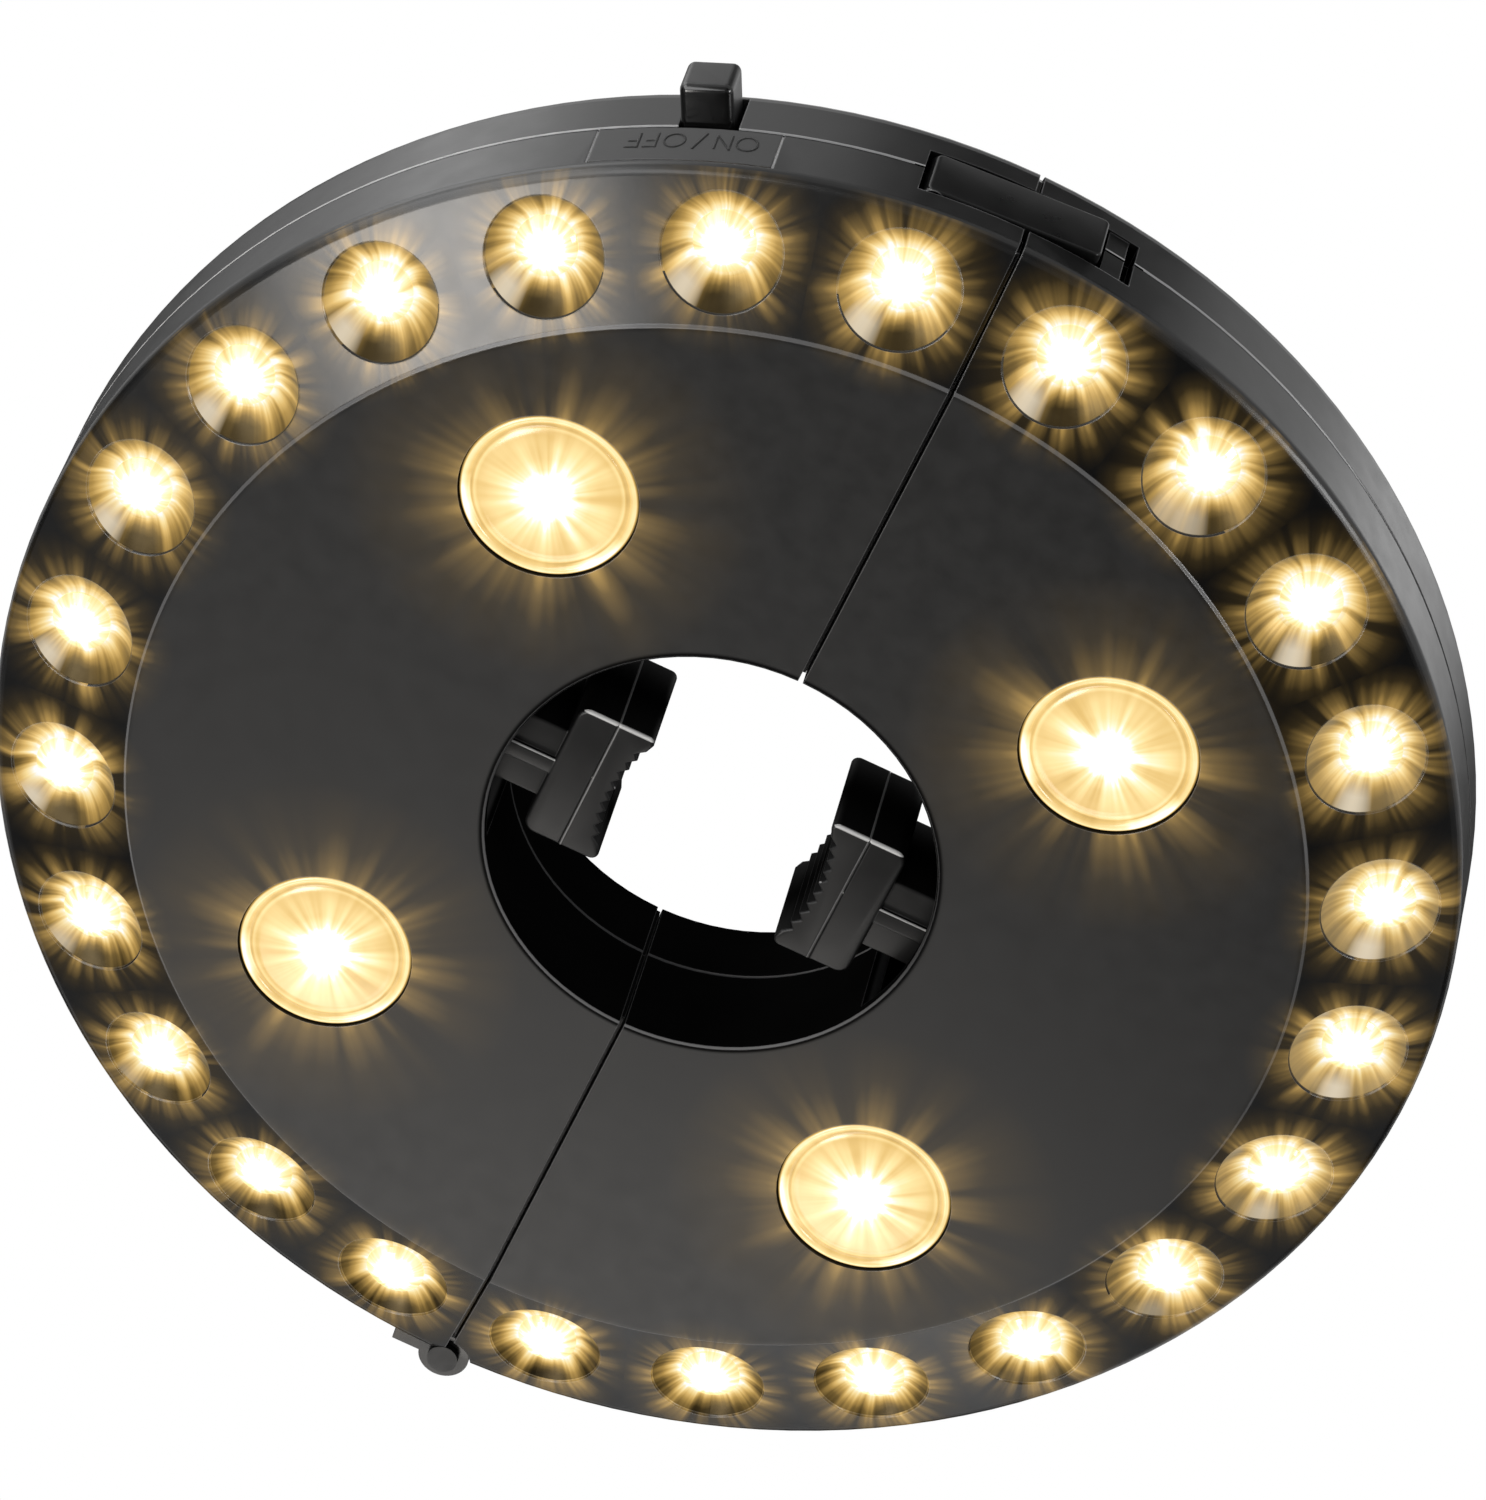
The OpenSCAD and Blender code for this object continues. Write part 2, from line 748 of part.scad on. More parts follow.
// Plated strip of cups that seats in the face shell from inside
module reflector_ring() {
    color([0.45, 0.44, 0.42]) difference() {
        behind_seam_wall() intersection() {
            union() {
                rotate_extrude($fn = 180) polygon([
                    [light_r - 7.4, light_z + wall / cos(slope) + slip - 7.4 * tan(slope)],
                    [light_r + 8, light_z + wall / cos(slope) + slip + 8 * tan(slope)],
                    [light_r + 8, light_z + wall / cos(slope) + slip + ring_plate_t + 8 * tan(slope)],
                    [light_r - 7.4, light_z + wall / cos(slope) + slip + ring_plate_t - 7.4 * tan(slope)]
                ]);
                at_lights() bowl(cup_wall);
            }
            over_slope(cup_lip + hair);
        }
        at_lights() bowl(0);
        at_lights() post(floor_r, 0, dome_r - 1.4, floor_z - 2, floor_z + 4);
    }
}

module main_reflector_ring() {
    reflector_ring();
}

module swing_reflector_ring() {
    swing() reflector_ring();
}

module led_board() {
    color([0.86, 0.87, 0.85]) behind_seam_wall() translate([0, 0, board_z]) difference() {
        cylinder(h = board_t, r = board_out_r, $fn = 180);
        translate([0, 0, -1]) cylinder(h = board_t + 2, r = board_in_r, $fn = 180);
    }
}

module main_led_board() {
    led_board();
}

module swing_led_board() {
    swing() led_board();
}

// Small lights: a domed lens in the cup, on a base that reaches the board
module ring_leds() {
    color([1, 0.93, 0.72]) at_lights() {
        translate([floor_r, 0, floor_z]) rotate([0, -cup_floor_lean, 0])
            translate([0, 0, -0.1]) rotate([180, 0, 0]) dome(dome_r, dome_h);
        post(floor_r, 0, dome_r - 1.8, floor_z - 0.6, board_z);
    }
}

// Low dome with a short straight edge, growing along +Z
module dome(r, h) {
    edge = 0.4;
    cap = h - edge;
    ball = (r * r + cap * cap) / (2 * cap);
    rotate_extrude() polygon(concat(
        [[0, 0], [r, 0]],
        arc(0, h - ball, ball, asin((ball - cap) / ball), 90, 6)
    ));
}

module main_ring_leds() {
    ring_leds();
}

module swing_ring_leds() {
    swing() ring_leds();
}

// Large lenses: crowned front, flange behind the face
module spot_lenses() {
    color([1, 0.95, 0.8, 0.6]) at_spots() difference() {
        union() {
            translate([0, 0, lens_rim_z]) mirror([0, 0, 1]) dome(lens_r, lens_crown);
            post(0, 0, lens_r, lens_rim_z - 0.01, wall + slip + 1.2);
            post(0, 0, lens_r + lens_flange, wall + slip, wall + slip + 1.2);
        }
        post(0, 0, lens_r - 1.6, lens_t, far);
    }
}

module main_spot_lenses() {
    spot_lenses();
}

module swing_spot_lenses() {
    swing() spot_lenses();
}

// Plated cones behind the large lenses
module spot_reflectors() {
    mouth = lens_r - 1;
    color([0.72, 0.72, 0.7]) at_spots() translate([0, 0, spot_z]) rotate_extrude() polygon([
        [mouth, 0], [spot_ring_r - slip, 0], [spot_ring_r - slip, 1], [mouth + 1, 1],
        [(mouth + spot_throat_r) / 2 + 2, spot_depth * 0.61],
        [spot_throat_r + 2.6, spot_depth - 1.4], [spot_board_r, spot_depth - 1.4],
        [spot_board_r, spot_depth], [spot_throat_r, spot_depth],
        [spot_throat_r + 0.8, spot_depth - 1.6],
        [(mouth + spot_throat_r) / 2 + 1, spot_depth * 0.55]
    ]);
}

module main_spot_reflectors() {
    spot_reflectors();
}

module swing_spot_reflectors() {
    swing() spot_reflectors();
}

// Large lights: round board with its emitter in the reflector's throat
module spot_leds() {
    color([0.95, 0.9, 0.75]) at_spots() {
        post(0, 0, spot_board_r, spot_back_z, spot_back_z + board_t);
        post(0, 0, spot_throat_r - 0.5, spot_back_z - 1, spot_back_z);
        translate([0, 0, spot_back_z - 1]) mirror([0, 0, 1]) dome(spot_throat_r - 1, 1.8);
    }
}

module main_spot_leds() {
    spot_leds();
}

module swing_spot_leds() {
    swing() spot_leds();
}

// Outline of the toothed pad: hollow front with V grooves along the pole
function pad_front(y) = pole_r + sqrt(pad_hollow_r * pad_hollow_r - y * y) - pad_hollow_r;

function pad_outline() = let (
    half = jaw_w / 2,
    pitch = (jaw_w - 2 * pad_lip) / pad_teeth,
    y0 = -pitch * pad_teeth / 2,
    tip = pad_front(half - pad_round)
) concat(
    [[pad_back_x, -half]],
    arc(tip + pad_round, -half + pad_round, pad_round, 270, 180, 3),
    [for (i = [0:pad_teeth - 1]) let (y = y0 + pitch * i) each [
        [pad_front(y), y],
        [pad_front(y + pitch / 2) + tooth_d, y + pitch / 2]
    ]],
    [[pad_front(y0), -y0]],
    arc(tip + pad_round, half - pad_round, pad_round, 180, 90, 3),
    [[pad_back_x, half]]
);

module jaw_pad() {
    color([0.1, 0.1, 0.1]) {
        translate([0, 0, jaw_z]) linear_extrude(jaw_h) polygon(pad_outline());
        for (z = [-1, 1]) translate([pad_back_x - 0.1, 0, jaw_z + jaw_h / 2 + z * jaw_h / 4])
            rotate([0, 90, 0]) cylinder(h = 2.4, r = 1.5, $fn = 48);
    }
}

module main_jaw_pad() {
    jaw_pad();
}

module swing_jaw_pad() {
    swing() jaw_pad();
}

// Jaw block with rounded back corners, its stem, the rib under it and the stop
module jaw() {
    corner = 2;
    half = jaw_w / 2;
    color([0.12, 0.12, 0.12]) difference() {
        union() {
            translate([0, 0, jaw_z]) linear_extrude(jaw_h) polygon(concat(
                [[pad_back_x, half], [pad_back_x, -half]],
                arc(jaw_back_x - corner, -half + corner, corner, -90, 0, 4),
                arc(jaw_back_x - corner, half - corner, corner, 0, 90, 4)
            ));
            box(jaw_back_x - 1, stem_end_x, stem_w / 2, stem_z, stem_top_z);
            box(jaw_back_x - 1, stem_end_x, 1.3, stem_z - 0.9, stem_z + 1);
            box(stop_x - stop_half, stop_x + stop_half, 1.4, stem_top_z - 1, cover_z + cover_t - 0.2);
        }
        translate([stem_end_x + 1, 0, spring_z]) rotate([0, -90, 0])
            cylinder(h = spring_pocket_l + 1, r = spring_pocket_r, $fn = 64);
        for (z = [-1, 1]) translate([pad_back_x - 1, 0, jaw_z + jaw_h / 2 + z * jaw_h / 4])
            rotate([0, 90, 0]) cylinder(h = 3.6, r = 1.5 + running, $fn = 48);
        for (s = [-1, 1]) translate([jaw_back_x + 3, s * stem_w / 2 - 1, stem_z + 4])
            cube([stem_l - spring_pocket_l - 6, 2, stem_top_z - stem_z - 8]);
    }
}

module main_jaw() {
    jaw();
}

module swing_jaw() {
    swing() jaw();
}

module jaw_spring() {
    l = channel_end - stem_end_x + spring_pocket_l - 2 * slip - spring_wire;
    r = (spring_d - spring_wire) / 2;
    echo(least_gap_between_turns = l / spring_turns - spring_wire);
    color([0.7, 0.7, 0.72])
        translate([stem_end_x - spring_pocket_l + slip + spring_wire / 2, 0, spring_z])
        wire(coil(l, r, r, spring_turns, 10), spring_wire / 2, 6);
}

module main_jaw_spring() {
    jaw_spring();
}

module swing_jaw_spring() {
    swing() jaw_spring();
}

// Plate over the channel, slotted for the stop
module jaw_cover() {
    color([0.16, 0.16, 0.16]) difference() {
        union() {
            box(channel_x, channel_end + channel_wall, channel_half + channel_wall,
                cover_z, cover_z + cover_t);
            for (p = cover_screw_spots) post(p[0], p[1], 2.8, cover_z, cover_z + cover_t);
        }
        box(stop_x - stop_half - jaw_in - 0.1, stop_x + stop_half + jaw_out + 0.1, 1.7,
            cover_z - 1, far);
        for (p = cover_screw_spots) 
            post(p[0], p[1], cover_screw_r + 0.3, cover_z - 1, far);
    }
}

module main_jaw_cover() {
    jaw_cover();
}

module swing_jaw_cover() {
    swing() jaw_cover();
}

// Screw pointing down, its head's underside at z = 0
module screw(r, l, head_r, h) {
    difference() {
        union() {
            translate([0, 0, -l]) cylinder(h = l + 0.1, r = r, $fn = 32);
            cylinder(h = h, r = head_r, $fn = 32);
        }
        for (a = [0, 90]) rotate([0, 0, a])
            translate([-head_r * 0.6, -head_r * 0.12, h * 0.45]) cube([head_r * 1.2, head_r * 0.24, h]);
    }
}

module cover_screws() {
    color([0.6, 0.6, 0.62]) for (p = cover_screw_spots)
        translate([p[0], p[1], cover_z + cover_t + hair]) 
            screw(cover_screw_r, cover_screw_l, cover_head_r, cover_head_h);
}

module main_cover_screws() {
    cover_screws();
}

module swing_cover_screws() {
    swing() cover_screws();
}

module housing_screws() {
    color([0.5, 0.5, 0.52]) for (b = boss_spots) translate([b[0], b[1], screw_seat_z + hair])
        screw(screw_r, screw_l, screw_head_r, head_h);
}

module main_housing_screws() {
    housing_screws();
}

module swing_housing_screws() {
    swing() housing_screws();
}

// Door with a thumb notch, grip ribs and two ribs that hold the cells down
module battery_door() {
    color([0.13, 0.13, 0.13]) {
        difference() {
            box(door_x0, door_x1, door_half_y, door_z + running, height);
            translate([(door_x0 + door_x1) / 2, -door_half_y, height]) sphere(r = thumb_r);
            for (i = [0:3]) translate([(door_x0 + door_x1 - grip_l) / 2,
                                       thumb_r + 3 + grip_step * i - door_half_y, height - 0.5])
                cube([grip_l, grip_w, 2]);
        }
        for (y = [-hold_y, hold_y])
            translate([bay_x0 + 1, y - hold_w / 2, cell_z + cell_r + cell_gap])
            cube([bay_x1 - bay_x0 - 2, hold_w, door_z - cell_z - cell_r]);
    }
}

module main_battery_door() {
    battery_door();
}

module swing_battery_door() {
    swing() battery_door();
}

// Cell along Y with its nub toward +Y when up is 1
module cell(x, up) {
    nub_l = 1.2;
    flat_y = -(cell_l + contact_l) / 2 + contact_l;
    color([0.2, 0.35, 0.25]) translate([x, 0, cell_z]) rotate([-90 * up, 0, 0])
        translate([0, 0, flat_y]) {
            difference() {
                cylinder(h = cell_l - nub_l, r = cell_r);
                translate([0, 0, cell_l - nub_l - 0.4]) difference() {
                    cylinder(h = 1, r = cell_r - 0.8);
                    translate([0, 0, -1]) cylinder(h = 3, r = cell_r - 2.2);
                }
            }
            cylinder(h = cell_l, r = 2.7);
        }
}

module main_inner_cell() {
    cell(inner_cell_x, 1);
}

module main_outer_cell() {
    cell(outer_cell_x, -1);
}

module swing_inner_cell() {
    swing() cell(inner_cell_x, 1);
}

module swing_outer_cell() {
    swing() cell(outer_cell_x, -1);
}

// Plates at both ends of the bay, with a conical spring for each cell
module battery_contacts() {
    plate_w = 12;
    plate_h = 11;
    spring_l = contact_l - 2 * slip - 0.7;
    color([0.78, 0.76, 0.68]) for (c = [[inner_cell_x, 1], [outer_cell_x, -1]]) {
        for (s = [-1, 1]) translate([c[0], s * (bay_half_y - contact_t / 2 - hair), cell_z])
            translate([-plate_w / 2, -contact_t / 2, -plate_h / 2])
            cube([plate_w, contact_t, plate_h]);
        translate([c[0], -c[1] * (bay_half_y - contact_t - slip - 0.35), cell_z])
            rotate([0, 0, c[1] * 90]) wire(coil(spring_l, 4.6, 2.6, 3, 10), 0.35, 6);
    }
}

module main_battery_contacts() {
    battery_contacts();
}

module swing_battery_contacts() {
    swing() battery_contacts();
}

// Fold-out hook: open loop on a stem, with a barrel and two stub pins
module hook() {
    color([0.14, 0.14, 0.14]) {
        translate([hook_x + hook_reach, 0, hook_z]) rotate([0, 0, 180])
            rotate_extrude(angle = 285) translate([hook_eye_r, 0]) square([hook_band, hook_t]);
        box(hook_x, hook_x + hook_reach - hook_eye_r - 0.6, 2.4, hook_z, hook_z + hook_t);
        translate([hook_x, 0, hook_pivot_z]) rotate([90, 0, 0]) {
            translate([0, 0, slip - hook_half])
                cylinder(h = 2 * (hook_half - slip), r = hook_barrel_r, $fn = 48);
            translate([0, 0, -hook_half - hook_pin_l])
                cylinder(h = 2 * (hook_half + hook_pin_l), r = hook_pin_r, $fn = 48);
        }
    }
}

module main_hook() {
    hook();
}

module swing_hook() {
    swing() hook();
}

module hinge_pin() {
    color([0.7, 0.7, 0.72]) {
        post(0, hinge_y, hinge_pin_r, knuckle_z - 0.6, high_top + 0.6);
        post(0, hinge_y, hinge_head_r, knuckle_z - 1.2, knuckle_z - 0.1);
    }
}

// Latch: plate on a barrel, with a nose that drops behind the catch
module latch() {
    nose_d = latch_y + nose_u * sin(latch_lean) - nose_tip_y;
    color([0.11, 0.11, 0.115]) translate([latch_x, latch_y, latch_z]) difference() {
        union() {
            rotate([0, 0, -latch_lean]) mirror([1, 0, 0]) linear_extrude(latch_h) polygon(concat(
                arc(0.8 - latch_tail, latch_out - 0.8, 0.8, 90, 180, 3),
                [[-latch_tail, latch_out - latch_t]],
                [[nose_u, latch_out - latch_t], [nose_u, -nose_d], [nose_u + 0.8, -nose_d],
                 [nose_u + nose_w, latch_out - latch_t]],
                arc(latch_l - 0.8, latch_out - latch_t + 0.8, 0.8, -90, 0, 3),
                arc(latch_l - 0.8, latch_out - 0.8, 0.8, 0, 90, 3)
            ));
            cylinder(h = latch_h, r = latch_barrel_r, $fn = 48);
        }
        translate([0, 0, -1]) cylinder(h = latch_h + 2, r = latch_pin_r + running, $fn = 48);
    }
}

module latch_pin() {
    color([0.7, 0.7, 0.72]) post(latch_x, latch_y, latch_pin_r, pocket_z - 1, pocket_top + 1);
}

// Push button: rounded cap, skirt behind the slot and a stem to the plunger
module mode_button() {
    edge = 1.2;
    color([0.15, 0.15, 0.155]) rotate([0, 0, button_angle]) {
        hull() for (y = [-1, 1] * (button_w / 2 - edge), z = [edge, button_h - edge])
            translate([0, button_side + y, button_z + z]) {
            translate([button_skirt_x + 0.5, 0, 0]) rotate([0, 90, 0])
                cylinder(h = rim_r + button_out - edge - button_skirt_x - 0.5, r = edge, $fn = 24);
            translate([rim_r + button_out - edge, 0, 0]) sphere(r = edge, $fn = 24);
        }
        translate([button_skirt_x, -button_w / 2 - 1.6, button_z - 0.6])
            cube([button_skirt_t, button_w + 3.2, button_h + 1.4]);
        translate([stem_tip_x, 0, switch_z]) rotate([0, 90, 0])
            cylinder(h = button_skirt_x - stem_tip_x + 0.1, r = 2.2, $fn = 48);
    }
}

module switch_plunger() {
    color([0.1, 0.1, 0.1]) rotate([0, 0, button_angle])
        translate([switch_face_x - 1.7, 0, switch_z]) rotate([0, 90, 0])
        cylinder(h = stem_tip_x - switch_face_x + 1.7, r = plunger_r, $fn = 48);
}

module mode_switch() {
    color([0.2, 0.2, 0.2]) rotate([0, 0, button_angle]) difference() {
        translate([switch_back_x, -switch_w / 2, switch_z - switch_w / 2])
            cube([switch_l, switch_w, switch_w]);
        translate([switch_face_x - 1.9 - button_travel, 0, switch_z]) rotate([0, 90, 0])
            cylinder(h = 6, r = plunger_r + running, $fn = 48);
    }
}

module control_board() {
    color([0.1, 0.35, 0.2]) rotate([0, 0, button_angle])
        translate([switch_back_x - control_t, -control_w / 2, control_z])
        cube([control_t, control_w, control_h]);
}

main_face_shell();
main_back_shell();
main_reflector_ring();
main_led_board();
main_ring_leds();
main_spot_lenses();
main_spot_reflectors();
main_spot_leds();
main_jaw();
main_jaw_pad();
main_jaw_spring();
main_jaw_cover();
main_cover_screws();
main_battery_door();
main_inner_cell();
main_outer_cell();
main_battery_contacts();
main_hook();
main_housing_screws();
swing_face_shell();
swing_back_shell();
swing_reflector_ring();
swing_led_board();
swing_ring_leds();
swing_spot_lenses();
swing_spot_reflectors();
swing_spot_leds();
swing_jaw();
swing_jaw_pad();
swing_jaw_spring();
swing_jaw_cover();
swing_cover_screws();
swing_battery_door();
swing_inner_cell();
swing_outer_cell();
swing_battery_contacts();
swing_hook();
swing_housing_screws();
hinge_pin();
latch();
latch_pin();
mode_button();
switch_plunger();
mode_switch();
control_board();
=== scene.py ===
import json
import math

import bmesh
import bpy
from mathutils import Matrix, Vector

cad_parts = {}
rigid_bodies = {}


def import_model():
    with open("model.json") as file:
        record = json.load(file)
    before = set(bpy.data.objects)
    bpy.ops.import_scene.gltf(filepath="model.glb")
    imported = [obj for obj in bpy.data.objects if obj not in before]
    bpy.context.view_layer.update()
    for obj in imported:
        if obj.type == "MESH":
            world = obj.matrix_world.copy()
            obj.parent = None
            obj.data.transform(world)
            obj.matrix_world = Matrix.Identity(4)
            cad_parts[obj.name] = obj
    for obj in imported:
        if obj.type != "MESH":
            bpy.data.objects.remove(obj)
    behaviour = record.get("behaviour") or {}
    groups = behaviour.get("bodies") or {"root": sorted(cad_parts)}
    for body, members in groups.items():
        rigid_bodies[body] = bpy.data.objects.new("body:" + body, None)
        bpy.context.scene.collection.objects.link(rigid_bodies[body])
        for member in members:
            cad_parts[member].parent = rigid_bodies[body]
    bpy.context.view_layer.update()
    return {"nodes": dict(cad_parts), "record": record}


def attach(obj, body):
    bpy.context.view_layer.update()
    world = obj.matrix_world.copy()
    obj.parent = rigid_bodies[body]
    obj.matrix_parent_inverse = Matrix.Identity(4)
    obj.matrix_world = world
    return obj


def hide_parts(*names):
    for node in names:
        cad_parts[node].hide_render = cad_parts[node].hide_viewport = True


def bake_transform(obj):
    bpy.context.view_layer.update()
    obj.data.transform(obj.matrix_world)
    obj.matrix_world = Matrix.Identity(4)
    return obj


for old in list(bpy.data.objects):
    bpy.data.objects.remove(old)
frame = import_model()
nodes = frame["nodes"]
MM, TO_MM = 0.001, 1000.0
HALVES = (("main", 1.0), ("swing", -1.0))

# Sizes in mm, as in the CAD part
RIM_R, FACE_R, HOLE_R, SEAM_Z, WALL = 110.0, 88.0, 33.8, 19.5, 2.0
LIGHT_STEP, LED_R = 15.0, 98.82  # degrees from light to light, and the radius that they lie on
BOWL_R, BOWL_Z, BOWL = 100.52, -2.62, 11.2  # centre and radius of a cup's sphere
SPOT_XY = 63.0 * math.cos(math.radians(45))
LENS_R, FLANGE, SPOT_BACK_Z = 13.2, 1.6, 12.55
POLE_R, PAD_T, BLOCK_T, JAW_W, JAW_Z, JAW_H = 16.5, 3.8, 6.2, 23.8, 3.8, 19.6
PAD_BACK = POLE_R + PAD_T
JAW_BACK = PAD_BACK + BLOCK_T
STEM_END = JAW_BACK + 26.0
STEM_Z, STEM_TOP = JAW_Z + 1.1, JAW_Z + JAW_H - 0.6
STEM_MID = (STEM_Z + STEM_TOP) / 2
STEM_HALF, BORE_HALF, BORE_L = 6.3, 4.1, 12.4  # the spring sits in the stem's bore
RIB_HALF, RIB_DROP = 1.3, 0.9
STOP_FAR, STOP_NEAR, STOP_HALF = 7.0, 3.0, 1.4
BUTTON_ANGLE, BUTTON_W, BUTTON_H, BUTTON_OUT, BUTTON_SIDE = 65.0, 7.8, 8.4, 6.2, -0.25
BUTTON_Z, BUTTON_ROUND = SEAM_Z + 0.5, 1.2
SKIRT, SKIRT_EDGE, SKIRT_T, BUTTON_STEM_R = RIM_R - WALL - 2.1, 1.6, 1.2, 2.2
LATCH_X, LATCH_Y, LATCH_Z, LATCH_L, LATCH_H = 13.8, 107.3, 13.4, 25.0, 10.6
LATCH_TOP, LATCH_HEEL, LATCH_IN, LATCH_OUT = LATCH_Z + LATCH_H, 1.3, -0.15, 2.05
LATCH_BARREL, LATCH_BORE, LATCH_LEAN = 1.9, 1.05, math.radians(-3.8)
POCKET_Y, CATCH_H = 105.0, 2.1
NOSE_START, NOSE_T, NOSE_Y = LATCH_L - 5.0, 2.0, POCKET_Y + CATCH_H + 0.25
FLOOR_Z, FLOOR_HALF = -4.0, 15.0  # metres

# Camera
camera = bpy.data.objects.new("camera", bpy.data.cameras.new("camera"))
bpy.context.scene.collection.objects.link(camera)
camera.data.sensor_fit = "HORIZONTAL"
camera.data.sensor_width = 36.0
camera.data.lens = 193.38
camera.data.shift_x = 0.0058
camera.data.shift_y = -0.0016
camera.data.clip_end = 20.0
camera.matrix_world = Matrix((
    (-0.90580573, 0.41716354, 0.07409830, 0.090244),
    (0.38802142, 0.74652157, 0.54050433, 0.647185),
    (0.17016272, 0.51834364, -0.83807190, -0.973974),
    (0.0, 0.0, 0.0, 1.0),
))
bpy.context.scene.camera = camera
bpy.context.scene.view_settings.view_transform = "Standard"


# Node helpers
def new_material(name):
    mat = bpy.data.materials.new(name)
    mat.use_nodes = True
    tree = mat.node_tree
    return mat, tree, tree.nodes["Principled BSDF"]


def put(tree, value, socket):
    """A number goes on the socket itself, another node's output is linked to it."""
    if isinstance(value, (int, float)):
        socket.default_value = value
    else:
        tree.links.new(value, socket)


def calc(tree, operation, *values, clamp=False):
    n = tree.nodes.new("ShaderNodeMath")
    n.operation = operation
    n.use_clamp = clamp
    for socket, value in zip(n.inputs, values):
        put(tree, value, socket)
    return n.outputs[0]


def product(tree, *values):
    total = values[0]
    for value in values[1:]:
        total = calc(tree, "MULTIPLY", total, value)
    return total


def largest(tree, *values):
    total = values[0]
    for value in values[1:]:
        total = calc(tree, "MAXIMUM", total, value)
    return total


def inverse(tree, value):
    return calc(tree, "SUBTRACT", 1.0, value)


def squares(tree, x, y):
    return calc(tree, "ADD", product(tree, x, x), product(tree, y, y))


def along(tree, cos_v, sin_v, degrees):
    """Cosine of the angle between a direction and a fixed one."""
    a = math.radians(degrees)
    return calc(tree, "ADD", product(tree, cos_v, math.cos(a)), product(tree, sin_v, math.sin(a)))


def coords(tree):
    return tree.nodes.new("ShaderNodeTexCoord").outputs["Object"]


def xyz(tree, vector):
    n = tree.nodes.new("ShaderNodeSeparateXYZ")
    tree.links.new(vector, n.inputs[0])
    return n.outputs[0], n.outputs[1], n.outputs[2]


def joined(tree, x, y, z):
    n = tree.nodes.new("ShaderNodeCombineXYZ")
    for socket, value in zip(n.inputs, (x, y, z)):
        put(tree, value, socket)
    return n.outputs[0]


def noise(tree, vector, scale, detail=3.0, rough=0.5):
    n = tree.nodes.new("ShaderNodeTexNoise")
    n.inputs["Scale"].default_value = scale
    n.inputs["Detail"].default_value = detail
    n.inputs["Roughness"].default_value = rough
    tree.links.new(vector, n.inputs["Vector"])
    return n.outputs["Fac"]


def ramp(tree, fac, stops):
    """Colour ramp; a stop's colour may be one number for a grey."""
    n = tree.nodes.new("ShaderNodeValToRGB")
    bar = n.color_ramp
    while len(bar.elements) < len(stops):
        bar.elements.new(0.5)
    for element, (position, colour) in zip(bar.elements, stops):
        rgb = (colour,) * 3 if isinstance(colour, (int, float)) else colour
        element.position = position
        element.color = (*rgb, 1.0)
    tree.links.new(fac, n.inputs["Fac"])
    return n.outputs["Color"]


def steps(tree, value, low, high, rows):
    """Piecewise linear curve of a value between low and high; its results lie in 0 to 2."""
    unit = calc(tree, "DIVIDE", calc(tree, "SUBTRACT", value, low), high - low, clamp=True)
    half = ramp(tree, unit, [((x - low) / (high - low), y / 2) for x, y in rows])
    return calc(tree, "MULTIPLY", half, 2.0)


def blend_colours(tree, factor, a, b):
    n = tree.nodes.new("ShaderNodeMix")
    n.data_type = "RGBA"
    put(tree, factor, n.inputs[0])
    for socket, value in ((n.inputs[6], a), (n.inputs[7], b)):
        if isinstance(value, tuple):
            socket.default_value = (*value, 1.0)
        else:
            tree.links.new(value, socket)
    return n.outputs[2]


def bump(tree, height, strength, distance, normal=None):
    n = tree.nodes.new("ShaderNodeBump")
    n.inputs["Strength"].default_value = strength
    n.inputs["Distance"].default_value = distance
    tree.links.new(height, n.inputs["Height"])
    if normal is not None:
        tree.links.new(normal, n.inputs["Normal"])
    return n.outputs["Normal"]


def soft_edges(tree, radius):
    """Normal of an edge rounded by a radius, and a mask that is 1 on that edge."""
    soft = tree.nodes.new("ShaderNodeBevel")
    soft.samples = 6
    soft.inputs["Radius"].default_value = radius
    flat = tree.nodes.new("ShaderNodeNewGeometry")
    dot = tree.nodes.new("ShaderNodeVectorMath")
    dot.operation = "DOT_PRODUCT"
    tree.links.new(soft.outputs[0], dot.inputs[0])
    tree.links.new(flat.outputs["Normal"], dot.inputs[1])
    bend = calc(tree, "SUBTRACT", 0.985, dot.outputs["Value"])
    mask = calc(tree, "MULTIPLY", bend, 9.0, clamp=True)
    return soft.outputs[0], mask


def within(tree, value, low, high, soft):
    """1 between two values, falling to 0 over a soft border outside them."""
    rise = calc(tree, "DIVIDE", calc(tree, "SUBTRACT", value, low - soft), soft, clamp=True)
    fall = calc(tree, "DIVIDE", calc(tree, "SUBTRACT", high + soft, value), soft, clamp=True)
    return product(tree, rise, fall)


